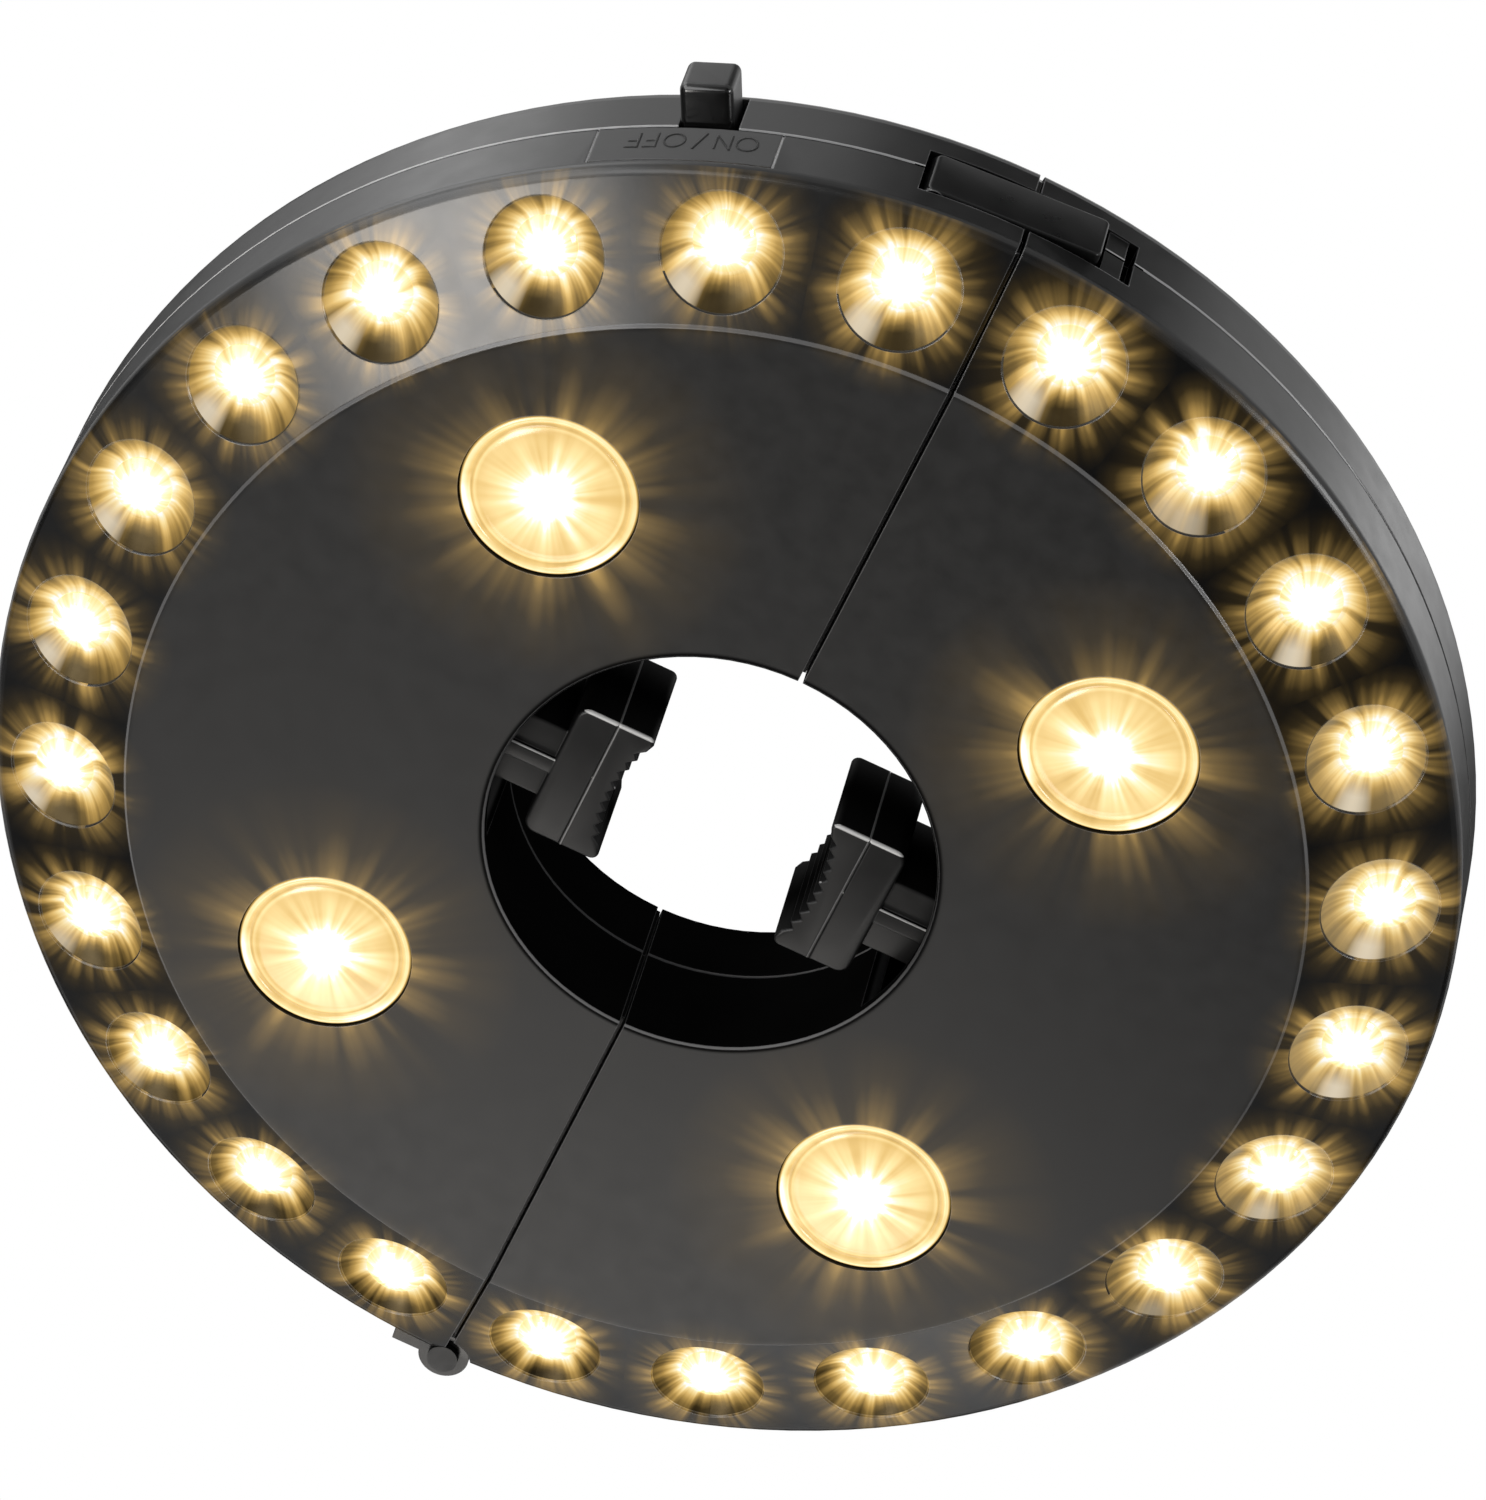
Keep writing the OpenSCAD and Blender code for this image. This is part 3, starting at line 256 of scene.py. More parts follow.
def near_ring_light(tree, at):
    """Where a point lies round the nearest small light, as polar() says it, and where that light is."""
    x, y = xyz(tree, at)[:2]
    step = math.radians(LIGHT_STEP)
    turn = calc(tree, "ARCTAN2", y, x)
    index = calc(tree, "FLOOR", calc(tree, "DIVIDE", turn, step))
    middle = product(tree, calc(tree, "ADD", index, 0.5), step)
    cos_m, sin_m = calc(tree, "COSINE", middle), calc(tree, "SINE", middle)
    dx = calc(tree, "SUBTRACT", x, product(tree, cos_m, LED_R * MM))
    dy = calc(tree, "SUBTRACT", y, product(tree, sin_m, LED_R * MM))
    found = polar(tree, dx, dy, index)
    # The painted reflection, shade and glow in a cup depend on its place: dim opposite the latch, turned
    # and then even toward -X
    found["away"] = calc(tree, "MULTIPLY_ADD", along(tree, cos_m, sin_m, 75.0), -1.5, -0.25, clamp=True)
    found["turned"] = calc(tree, "MULTIPLY_ADD", cos_m, -2.2, -0.3, clamp=True)
    found["filled"] = calc(tree, "MULTIPLY_ADD", cos_m, -3.5, -2.2, clamp=True)
    return found


def outside_bowl(tree, at, p):
    """1 on the back of a cup, 0 on the side that its light shines on."""
    x, y, z = xyz(tree, at)
    shift = BOWL_R - LED_R
    radius = calc(tree, "SQRT", squares(tree, x, y))
    dx, dy = (calc(tree, "SUBTRACT", product(tree, p[part], p["d"]),
                   calc(tree, "DIVIDE", product(tree, offset, shift), radius))
              for part, offset in (("cos", x), ("sin", y)))
    dz = calc(tree, "MULTIPLY_ADD", z, TO_MM, -BOWL_Z)
    distance = calc(tree, "MULTIPLY_ADD", dz, dz, squares(tree, dx, dy))
    return calc(tree, "GREATER_THAN", distance, (BOWL + 0.2) ** 2)


def facing_z(tree):
    return xyz(tree, tree.nodes.new("ShaderNodeTexCoord").outputs["Normal"])[2]


def near_spot(tree, at):
    """The same for the nearest large light."""
    x, y = xyz(tree, at)[:2]
    sx, sy = calc(tree, "SIGN", x), calc(tree, "SIGN", y)
    dx = calc(tree, "SUBTRACT", x, product(tree, sx, SPOT_XY * MM))
    dy = calc(tree, "SUBTRACT", y, product(tree, sy, SPOT_XY * MM))
    return polar(tree, dx, dy, calc(tree, "MULTIPLY_ADD", sx, 2.0, sy))


def polar(tree, dx, dy, index):
    """Distance in mm, a number per light, and the direction's cosine and sine."""
    metres = calc(tree, "SQRT", squares(tree, dx, dy))
    near = calc(tree, "MAXIMUM", metres, 1e-6)
    return {"d": product(tree, metres, TO_MM), "index": index,
            "cos": calc(tree, "DIVIDE", dx, near), "sin": calc(tree, "DIVIDE", dy, near)}


RING_RAYS, SPOT_RAYS = 3.1, 2.8  # how fine the streaks of the small and the large lights are


def rays(tree, p, scale, low, high):
    """Radial streaks, 0 to 1, that differ from light to light."""
    spot = joined(tree, product(tree, p["cos"], scale), product(tree, p["sin"], scale),
                  product(tree, p["index"], 7.31))
    streak = noise(tree, spot, 1.0, 2.5, 0.65)
    return product(tree, ramp(tree, streak, [(low, 0.0), (high, 1.0)]), 1.0)


def toward(tree, p, degrees, wide):
    """1 in a direction round the light, falling to 0 at an angle from it."""
    edge = math.cos(math.radians(wide))
    inside = calc(tree, "SUBTRACT", along(tree, p["cos"], p["sin"], degrees), edge)
    return calc(tree, "DIVIDE", inside, 1.0 - edge, clamp=True)


def mixed(tree, factor, a, b):
    """a where the factor is 0, b where it is 1."""
    return calc(tree, "MULTIPLY_ADD", calc(tree, "SUBTRACT", b, a), factor, a)


# Colour of the lamp's light, from none to full
WARM = [
    (0.0, 0.0), (0.12, (0.026, 0.0165, 0.004)), (0.3, (0.155, 0.097, 0.026)), (0.5, (0.45, 0.28, 0.075)),
    (0.65, (0.74, 0.49, 0.16)), (0.8, (0.95, 0.73, 0.33)), (0.92, (1.0, 0.88, 0.58)),
    (1.0, (1.0, 1.0, 0.97)),
]
# Colours of the painted highlights on edges and lines, and black
PAINTED_EDGE_HIGHLIGHT, PAINTED_LINE_HIGHLIGHT, BLACK = (0.52, 0.52, 0.53), (0.85, 0.85, 0.85), (0.0, 0.0, 0.0)
# Colours of the painted glow fill and the painted reflection patch in the cups
CUP_FILL, CUP_PAINTED_REFLECTION = (0.36, 0.27, 0.14), (0.74, 0.65, 0.50)


def shine(tree, bsdf, amount, strength=1.0):
    put(tree, ramp(tree, amount, WARM), bsdf.inputs["Emission Color"])
    bsdf.inputs["Emission Strength"].default_value = strength


# Materials
def mottled(tree, bsdf, at, dark, light, rough, spread):
    put(tree, ramp(tree, noise(tree, at, 60.0), [(0.3, dark), (0.7, light)]), bsdf.inputs["Base Color"])
    put(tree, ramp(tree, noise(tree, at, 180.0), [(0.3, rough - spread), (0.7, rough + spread)]),
        bsdf.inputs["Roughness"])


# Lines and areas of the shell where highlights and shade are painted, in mm: low, high and softness of
# their border
WALL_R = RIM_R - 0.8  # further out is the side wall
SEAM_LINE = (SEAM_Z + 0.02, SEAM_Z + 0.34, 0.06)
SEAM_GAP = (SEAM_Z - 0.46, SEAM_Z - 0.06, 0.05)
INNER_SEAM = (SEAM_Z - 0.25, SEAM_Z + 0.25, 0.06)
POCKET_R, POCKET_Z, SILL_Z = (100.0, WALL_R, 0.1), (12.6, 25.0, 0.2), (12.2, 13.4, 0.2)
MOUTH_EDGE, FACE_STEP = (HOLE_R, HOLE_R + 0.26, 0.04), (FACE_R, FACE_R + 0.32, 0.05)
PANEL_R, PANEL_Z = (RIM_R - 0.4, RIM_R - 0.08, 0.02), (9.4, 19.1, 0.05)


def shell_material():
    """Black moulded plastic: matt middle, glossier sloped ring, painted shade in the hole, seam gap and
    latch pocket, painted highlights on edges and lines, warm spill.
    """
    mat, tree, bsdf = new_material("shell_plastic")
    at = coords(tree)
    x, y, z = xyz(tree, at)
    radius = product(tree, calc(tree, "SQRT", squares(tree, x, y)), TO_MM)
    height = product(tree, z, TO_MM)
    normal, edge = soft_edges(tree, 0.00028)
    open_part = ramp(tree, calc(tree, "DIVIDE", radius, 60.0), [(0.572, 0.0), (0.58, 1.0)])
    lower = ramp(tree, calc(tree, "DIVIDE", height, 40.0), [(0.7, 1.0), (0.8, 0.4)])
    rim = calc(tree, "GREATER_THAN", radius, WALL_R)
    plus_x = calc(tree, "MULTIPLY_ADD", x, 50.0, 3.2, clamp=True)
    minus_y = calc(tree, "MULTIPLY_ADD", y, -30.0, 0.25, clamp=True)
    # Seam, latch pocket and the lines with painted highlights; painted shade in the seam gap and the
    # pocket
    seam = product(tree, within(tree, height, *SEAM_LINE), rim, plus_x)
    painted_seam_shade = product(tree, within(tree, height, *SEAM_GAP), rim)
    pocket = product(tree, within(tree, radius, *POCKET_R), within(tree, height, *POCKET_Z),
                     calc(tree, "GREATER_THAN", y, 0.095))
    lit = inverse(tree, largest(tree, painted_seam_shade, product(tree, pocket, 0.65)))
    mouth = product(tree, within(tree, radius, *MOUTH_EDGE),
                    calc(tree, "LESS_THAN", height, 0.28), minus_y)
    step = product(tree, within(tree, radius, *FACE_STEP), calc(tree, "LESS_THAN", height, 0.62))
    panel = product(tree, within(tree, radius, *PANEL_R), within(tree, height, *PANEL_Z),
                    calc(tree, "GREATER_THAN", x, 0.02))
    sill = product(tree, edge, within(tree, height, *SILL_Z), calc(tree, "GREATER_THAN", y, 0.100))
    inner = product(tree, within(tree, height, *INNER_SEAM),
                    calc(tree, "LESS_THAN", radius, HOLE_R + 0.32))
    # Painted highlights: pale edges low on the shell, and pale lines at the seam, hole edge, face step,
    # inner seam, panel grooves and pocket sill
    painted_highlight = product(tree, edge, lower, 0.23)
    for line, weight in (
            (seam, 0.9), (mouth, 0.34), (step, 0.25), (inner, 0.25), (panel, 1.0), (sill, 0.7)):
        painted_highlight = largest(tree, painted_highlight, product(tree, line, weight))
    plain = ramp(tree, noise(tree, at, 60.0), [(0.3, 0.0032), (0.7, 0.0048)])
    colour = blend_colours(tree, painted_highlight, plain, PAINTED_EDGE_HIGHLIGHT)
    # Brighter painted highlight on the panel grooves and the seam line
    painted_bright_line = largest(tree, panel, product(tree, seam, 0.55))
    colour = blend_colours(tree, painted_bright_line, colour, PAINTED_LINE_HIGHLIGHT)
    # Painted shade: the seam gap is nearly black
    put(tree, blend_colours(tree, painted_seam_shade, colour, (0.001, 0.001, 0.001)), bsdf.inputs["Base Color"])
    # Sheen: the middle is matt, the sloped ring glossier, the side wall in between
    zone = ramp(tree, calc(tree, "DIVIDE", radius, 120.0), [
        (0.728, 0.40), (0.734, 0.24), (0.905, 0.22), (0.915, 0.32)])
    grain = ramp(tree, noise(tree, at, 240.0), [(0.3, 0.92), (0.7, 1.08)])
    put(tree, product(tree, zone, grain), bsdf.inputs["Roughness"])
    # No reflection inside the hole, and less in the seam gap and the latch pocket: painted shade
    put(tree, calc(tree, "MULTIPLY_ADD", product(tree, open_part, lit), 0.40, 1.0), bsdf.inputs["IOR"])
    put(tree, bump(tree, noise(tree, at, 1500.0, 4.0, 0.6), 0.25, 0.00002, normal), bsdf.inputs["Normal"])
    # Warm light of the small and the large lights spilling over the face
    ring, spot = near_ring_light(tree, at), near_spot(tree, at)
    spill = product(tree, steps(tree, ring["d"], 8.0, 17.0, [
        (8, 0.74), (9.4, 0.62), (11, 0.41), (12.6, 0.20), (14.2, 0.06), (15.5, 0.0)]),
                    calc(tree, "MULTIPLY_ADD", rays(tree, ring, RING_RAYS, 0.36, 0.80), 0.86, 0.14))
    spill2 = product(tree, steps(tree, spot["d"], 12.0, 30.0, [
        (12, 0.70), (14.5, 0.50), (18, 0.30), (23, 0.14), (30, 0.0)]),
                     rays(tree, spot, SPOT_RAYS, 0.28, 0.85))
    haze = steps(tree, spot["d"], 10.0, 40.0, [(10, 0.07), (20, 0.025), (34, 0.0)])
    below = product(tree, ramp(tree, calc(tree, "DIVIDE", height, 20.0), [(0.42, 1.0), (0.5, 0.0)]),
                    calc(tree, "LESS_THAN", facing_z(tree), -0.5))
    both = calc(tree, "ADD", largest(tree, spill, spill2), haze)
    shine(tree, bsdf, product(tree, both, below, open_part))
    return mat


def plastic(name, dark, light, rough, spread, grain, depth, painted_edge_highlight=0.0, ior=1.35, edge_top=1000.0):
    """Moulded plastic: mottled colour and sheen, soft edges, a painted edge highlight below a given height
    if asked, and a fine grain.
    """
    mat, tree, bsdf = new_material(name)
    at = coords(tree)
    mottled(tree, bsdf, at, dark, light, rough, spread)
    normal, edge = soft_edges(tree, 0.00025)
    # Painted highlight: edges below edge_top are blended toward pale grey
    if painted_edge_highlight:
        base = bsdf.inputs["Base Color"].links[0].from_socket
        below = calc(tree, "LESS_THAN", xyz(tree, at)[2], edge_top * MM)
        put(tree, blend_colours(tree, product(tree, edge, below, painted_edge_highlight), base, (0.4, 0.4, 0.4)),
            bsdf.inputs["Base Color"])
    bsdf.inputs["IOR"].default_value = ior
    put(tree, bump(tree, noise(tree, at, grain, 4.0, 0.6), 0.3, depth, normal), bsdf.inputs["Normal"])
    return mat


def button_material():
    """Button plastic: glossy lower face, matt end and sides."""
    mat, tree, bsdf = new_material("button_plastic")
    at = coords(tree)
    mottled(tree, bsdf, at, 0.004, 0.006, 0.16, 0.03)
    down = calc(tree, "MULTIPLY", facing_z(tree), -1.2, clamp=True)
    sheen = bsdf.inputs["Roughness"].links[0].from_socket
    put(tree, calc(tree, "ADD", sheen, product(tree, inverse(tree, down), 0.22)), bsdf.inputs["Roughness"])
    bsdf.inputs["IOR"].default_value = 1.42
    put(tree, bump(tree, noise(tree, at, 900.0, 4.0, 0.6), 0.3, 0.00001), bsdf.inputs["Normal"])
    return mat


def jaw_material(name, rough, grain):
    """Black jaw plastic: sides that reflect less, a painted shade, and painted highlight lines, one where
    pad and block meet.
    """
    mat, tree, bsdf = new_material(name)
    at = coords(tree)
    mottled(tree, bsdf, at, 0.004, 0.006, rough, 0.04)
    normal, edge = soft_edges(tree, 0.00025)
    x = calc(tree, "ABSOLUTE", xyz(tree, at)[0])
    x, y, z = (product(tree, v, TO_MM) for v in (x, *xyz(tree, at)[1:]))
    # Painted highlight lines: where pad and block meet, the front lower edge, the side of the stem's rib,
    # and faintly on every edge
    split = within(tree, x, PAD_BACK - 0.22, PAD_BACK + 0.04, 0.05)
    front = product(tree, within(tree, y, JAW_W / 2 - 0.5, JAW_W / 2 - 0.06, 0.1),
                    within(tree, z, JAW_Z + 0.03, JAW_Z + 0.42, 0.08))
    rib = product(tree, within(tree, z, STEM_Z - RIB_DROP, STEM_Z - RIB_DROP + 0.3, 0.05),
                  within(tree, y, RIB_HALF - 0.15, RIB_HALF + 0.05, 0.03))
    painted_highlight = largest(tree, largest(tree, split, product(tree, edge, 0.12)),
                   largest(tree, product(tree, front, 2.6), product(tree, rib, 2.0)))
    base = bsdf.inputs["Base Color"].links[0].from_socket
    put(tree, blend_colours(tree, product(tree, painted_highlight, 0.38), base, (0.68, 0.68, 0.68)),
        bsdf.inputs["Base Color"])
    # Sides reflect less than faces that look up or down: painted shade
    down = calc(tree, "DIVIDE", calc(tree, "ABSOLUTE", facing_z(tree)), 0.4, clamp=True)
    put(tree, calc(tree, "MULTIPLY_ADD", down, 0.32, 1.0), bsdf.inputs["IOR"])
    put(tree, bump(tree, noise(tree, at, grain, 4.0, 0.6), 0.3, 0.00003, normal), bsdf.inputs["Normal"])
    return mat


def metal(name, dark, light, rough, spread, grain):
    mat, tree, bsdf = new_material(name)
    at = coords(tree)
    put(tree, ramp(tree, noise(tree, at, 90.0), [(0.3, dark), (0.7, light)]), bsdf.inputs["Base Color"])
    put(tree, ramp(tree, noise(tree, at, grain), [
        (0.3, max(rough - spread, 0.02)), (0.7, rough + spread)]), bsdf.inputs["Roughness"])
    bsdf.inputs["Metallic"].default_value = 1.0
    return mat


def cup_material():
    """Smoked plating with the small light's glow painted on it, a painted reflection as a pale patch and
    painted shade as a dark wedge on the low side.
    """
    mat, tree, bsdf = new_material("smoked_plating")
    at = coords(tree)
    p = near_ring_light(tree, at)
    streak = rays(tree, p, RING_RAYS, 0.30, 0.80)
    fade = steps(tree, p["d"], 4.0, 10.0, [
        (4.0, 1.10), (5.0, 0.94), (6.2, 0.72), (7.6, 0.50), (9.2, 0.34), (10, 0.26)])
    swing = steps(tree, p["d"], 4.0, 10.0, [(4.0, 0.5), (6.0, 0.66), (9.0, 0.44), (10, 0.36)])
    lit = calc(tree, "ADD", fade, product(tree, calc(tree, "SUBTRACT", streak, 0.5), swing))
    # Painted shade: a dark wedge, and the cups away from the latch a little darker
    outer = steps(tree, p["d"], 5.0, 10.0, [(5.0, 0.0), (7.4, 1.0), (10, 1.0)])
    painted_shade_wedge = mixed(tree, p["turned"], toward(tree, p, -112.0, 30.0),
                  product(tree, toward(tree, p, -132.0, 22.0), 0.9))
    painted_shade_wedge = product(tree, painted_shade_wedge, outer, inverse(tree, p["filled"]))
    lit = product(tree, lit, calc(tree, "MULTIPLY_ADD", painted_shade_wedge, -0.85, 1.0))
    lit = calc(tree, "SUBTRACT", lit, product(tree, outer, p["away"], 0.15))
    # Painted reflection as a pale patch, and an even painted glow fill
    near_outer = product(tree, outer, inverse(tree, p["away"]))
    painted_reflection_patch = product(tree, near_outer, mixed(
        tree, p["turned"], toward(tree, p, -70.0, 22.0), toward(tree, p, -98.0, 20.0)))
    fill = product(tree, near_outer, p["filled"], 0.42)
    glow = blend_colours(tree, fill, ramp(tree, lit, WARM), CUP_FILL)
    glow = blend_colours(tree, product(tree, painted_reflection_patch, 0.85), glow, CUP_PAINTED_REFLECTION)
    put(tree, blend_colours(tree, outside_bowl(tree, at, p), glow, BLACK), bsdf.inputs["Emission Color"])
    bsdf.inputs["Emission Strength"].default_value = 1.0
    put(tree, ramp(tree, noise(tree, at, 200.0), [
        (0.3, (0.022, 0.016, 0.008)), (0.7, (0.036, 0.027, 0.014))]), bsdf.inputs["Base Color"])
    bsdf.inputs["Metallic"].default_value = 1.0
    put(tree, ramp(tree, noise(tree, at, 300.0), [(0.3, 0.34), (0.7, 0.42)]), bsdf.inputs["Roughness"])
    return mat


def led_material():
    """Lit dome: white core, yellow edge."""
    mat, tree, bsdf = new_material("led_dome")
    at = coords(tree)
    p = near_ring_light(tree, at)
    streak = rays(tree, p, RING_RAYS, 0.30, 0.80)
    core = steps(tree, p["d"], 0.0, 5.0, [(0, 1.6), (2.4, 1.2), (3.4, 0.98), (4.6, 0.86), (5, 0.8)])
    swing = product(tree, calc(tree, "SUBTRACT", streak, 0.5), 0.4)
    shine(tree, bsdf, calc(tree, "ADD", core, swing), 1.1)
    put(tree, ramp(tree, streak, [(0.0, (0.10, 0.08, 0.05)), (1.0, (0.14, 0.12, 0.08))]),
        bsdf.inputs["Base Color"])
    bsdf.inputs["Roughness"].default_value = 0.1
    return mat


def lens_material():
    """Lit large lens: white core with rays, amber field, bright rings near its edge painted as highlights,
    and painted highlight arcs.
    """
    mat, tree, bsdf = new_material("lens_glow")
    at = coords(tree)
    p = near_spot(tree, at)
    streak = rays(tree, p, SPOT_RAYS, 0.28, 0.85)
    band = steps(tree, p["d"], 0.0, LENS_R, [
        (0.0, 1.7), (3.0, 1.25), (4.4, 1.0), (6.2, 0.86), (8.8, 0.77), (10.5, 0.70), (11.0, 0.80),
        (11.35, 0.61), (11.9, 0.68), (12.4, 0.82), (12.8, 0.85), (13.0, 0.5), (LENS_R, 0.1)])
    swing = steps(tree, p["d"], 0.0, LENS_R, [
        (0, 0.3), (4.5, 0.55), (8.0, 0.34), (10.5, 0.12), (LENS_R, 0.10)])
    lit = calc(tree, "ADD", band, product(tree, calc(tree, "SUBTRACT", streak, 0.5), swing))
    cloud = calc(tree, "MULTIPLY_ADD", noise(tree, at, 160.0, 2.0), 0.2, -0.1)
    # Painted highlight arcs near the rim, on two sides
    painted_glint = calc(tree, "ADD", toward(tree, p, 212.0, 24.0), toward(tree, p, -32.0, 22.0), clamp=True)
    painted_glint = product(tree, painted_glint, within(tree, p["d"], 11.7, 12.7, 0.2))
    lit = calc(tree, "MULTIPLY_ADD", painted_glint, 0.25, lit)
    shine(tree, bsdf, calc(tree, "ADD", lit, cloud), 1.05)
    put(tree, ramp(tree, streak, [(0.0, (0.08, 0.06, 0.03)), (1.0, (0.12, 0.10, 0.06))]),
        bsdf.inputs["Base Color"])
    bsdf.inputs["Roughness"].default_value = 0.2
    return mat


def spot_led_material():
    """Cream board of a large light; only its emitter, under the board, is lit."""
    mat, tree, bsdf = new_material("spot_led_board")
    at = coords(tree)
    under = calc(tree, "LESS_THAN", xyz(tree, at)[2], (SPOT_BACK_Z - 0.05) * MM)
    cloud = calc(tree, "MULTIPLY_ADD", noise(tree, at, 300.0, 2.0), 0.2, 0.85)
    shine(tree, bsdf, product(tree, under, cloud), 1.1)
    mottled(tree, bsdf, at, (0.30, 0.28, 0.22), (0.38, 0.36, 0.29), 0.4, 0.05)
    return mat


shell_mat = shell_material()
inner_mat = plastic("inner_plastic", 0.005, 0.008, 0.38, 0.04, 900.0, 0.00004)
jaw_mat = jaw_material("jaw_plastic", 0.36, 1200.0)
pad_mat = jaw_material("pad_rubber", 0.42, 1100.0)
button_mat = button_material()
# The latch and the lettering get painted edge highlights
latch_mat = plastic("latch_plastic", 0.003, 0.005, 0.30, 0.03, 1400.0, 0.00002, 0.8, 1.3, LATCH_Z + 0.9)
steel_mat = metal("spring_steel", (0.55, 0.55, 0.57), (0.68, 0.68, 0.7), 0.25, 0.06, 300.0)
screw_mat = metal("screw_steel", (0.20, 0.20, 0.21), (0.30, 0.30, 0.31), 0.35, 0.06, 300.0)
dark_steel_mat = metal("dark_steel", 0.03, 0.05, 0.45, 0.06, 300.0)
contact_mat = metal("contact_nickel", (0.62, 0.61, 0.57), (0.76, 0.74, 0.69), 0.22, 0.05, 260.0)
spot_mat = metal("spot_plating", (0.62, 0.60, 0.56), (0.72, 0.70, 0.66), 0.12, 0.04, 260.0)
board_mat = plastic("board_green", (0.03, 0.15, 0.07), (0.05, 0.22, 0.10), 0.35, 0.05, 500.0, 0.00003)
cell_mat = plastic("cell_can", (0.04, 0.12, 0.18), (0.06, 0.17, 0.24), 0.25, 0.04, 400.0, 0.00001)
letter_mat = plastic("lettering", 0.0015, 0.0025, 0.3, 0.04, 1200.0, 0.00001, 0.25, 1.2)
cup_mat = cup_material()
led_mat = led_material()
lens_mat = lens_material()
spot_led_mat = spot_led_material()

BY_SLOT = {
    "shell": shell_mat, "inner_plastic": inner_mat, "plated": cup_mat, "lens": lens_mat,
    "led": led_mat, "board": board_mat, "pad_rubber": pad_mat, "spring_steel": steel_mat,
    "screw_steel": screw_mat, "contact_steel": contact_mat, "cell_can": cell_mat,
}
BY_NODE = {"spot_reflectors": spot_mat, "spot_leds": spot_led_mat, "pin": dark_steel_mat}
for sub in frame["record"]["subparts"]:
    ob = nodes[sub["node"]]
    ob.data.materials.clear()
    kind = sub["node"].split("_", 1)[-1]
    ob.data.materials.append(BY_NODE.get(kind, BY_SLOT[sub["material_slot"]]))


# Mesh helpers, all in mm
SHARP = math.radians(40.0)


def arc(cx, cy, r, a0, a1, n):
    return [(cx + r * math.cos(math.radians(a0 + (a1 - a0) * i / n)),
             cy + r * math.sin(math.radians(a0 + (a1 - a0) * i / n))) for i in range(n + 1)]


def box_outline(u0, u1, v0, v1):
    return [(u0, v0), (u1, v0), (u1, v1), (u0, v1)]


class Build:
    """Collects the solids of one piece."""

    def __init__(self):
        self.bm = bmesh.new()

    def rings(self, rings, caps=True):
        rows = [[self.bm.verts.new(Vector(p) * MM) for p in ring] for ring in rings]
        n = len(rows[0])
        for a, b in zip(rows, rows[1:]):
            for i in range(n):
                self.bm.faces.new((a[i], a[(i + 1) % n], b[(i + 1) % n], b[i]))
        if caps:
            self.bm.faces.new(rows[0][::-1])
            self.bm.faces.new(rows[-1])

    def prism(self, outline, low, high, place=lambda u, v, w: (u, v, w)):
        self.rings([[place(u, v, w) for u, v in outline] for w in (low, high)])

    def rounded(self, outline_at, low, high, r, place=lambda u, v, w: (u, v, w), n=4, both=True):
        """Prism whose end edges are rounded; outline_at(inset) gives its outline."""
        rows = []
        if both:
            for i in range(n + 1):
                a = math.radians(90.0 * i / n)
                rows.append((r - r * math.sin(a), low + r - r * math.cos(a)))
        else:
            rows.append((0.0, low))
        for i in range(n + 1):
            a = math.radians(90.0 * i / n)
            rows.append((r - r * math.cos(a), high - r + r * math.sin(a)))
        self.rings([[place(u, v, w) for u, v in outline_at(inset)] for inset, w in rows])

    def turned(self, profile, cx, cy, n=96):
        """Solid of revolution round an axis along Z; the profile starts and ends on the axis."""
        first = self.bm.verts.new(Vector((cx, cy, profile[0][1])) * MM)
        last = self.bm.verts.new(Vector((cx, cy, profile[-1][1])) * MM)
        rows = []
        for r, z in profile[1:-1]:
            rows.append([self.bm.verts.new(Vector((
                cx + r * math.cos(2 * math.pi * i / n), cy + r * math.sin(2 * math.pi * i / n), z)) * MM)
                for i in range(n)])
        for i in range(n):
            j = (i + 1) % n
            self.bm.faces.new((first, rows[0][i], rows[0][j]))
            self.bm.faces.new((last, rows[-1][j], rows[-1][i]))
            for a, b in zip(rows, rows[1:]):
                self.bm.faces.new((a[i], b[i], b[j], a[j]))

    def finish(self, name, mat, body, replaces=(), mirror=False):
        """Makes the piece, as built or mirrored into the other half, and lets it ride its body if any."""
        bm = self.bm
        if mirror:
            bmesh.ops.scale(bm, vec=(-1, 1, 1), verts=bm.verts)
        bmesh.ops.recalc_face_normals(bm, faces=bm.faces)
        for face in bm.faces:
            face.smooth = True
        for edge in bm.edges:
            edge.smooth = edge.calc_face_angle(0.0) < SHARP
        mesh = bpy.data.meshes.new(name)
        bm.to_mesh(mesh)
        bm.free()
        mesh.materials.append(mat)
        ob = bpy.data.objects.new(name, mesh)
        bpy.context.scene.collection.objects.link(ob)
        if body:
            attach(ob, body)
        if replaces:
            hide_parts(*replaces)
        return ob


def rounded_box(u0, u1, v0, v1, r, n=5):
    """Outline of a rectangle with round corners, which may be inset."""
    def at(inset):
        q = max(r - inset, 0.05)
        a, b, c, d = u0 + inset, u1 - inset, v0 + inset, v1 - inset
        return (arc(b - q, d - q, q, 0, 90, n) + arc(a + q, d - q, q, 90, 180, n)
                + arc(a + q, c + q, q, 180, 270, n) + arc(b - q, c + q, q, 270, 360, n))
    return at


def cylinder_x(build, x0, x1, y, z, r, n=40):
    build.rings([[(x, y + r * math.cos(2 * math.pi * i / n), z + r * math.sin(2 * math.pi * i / n))
                  for i in range(n)] for x in (x0, x1)])


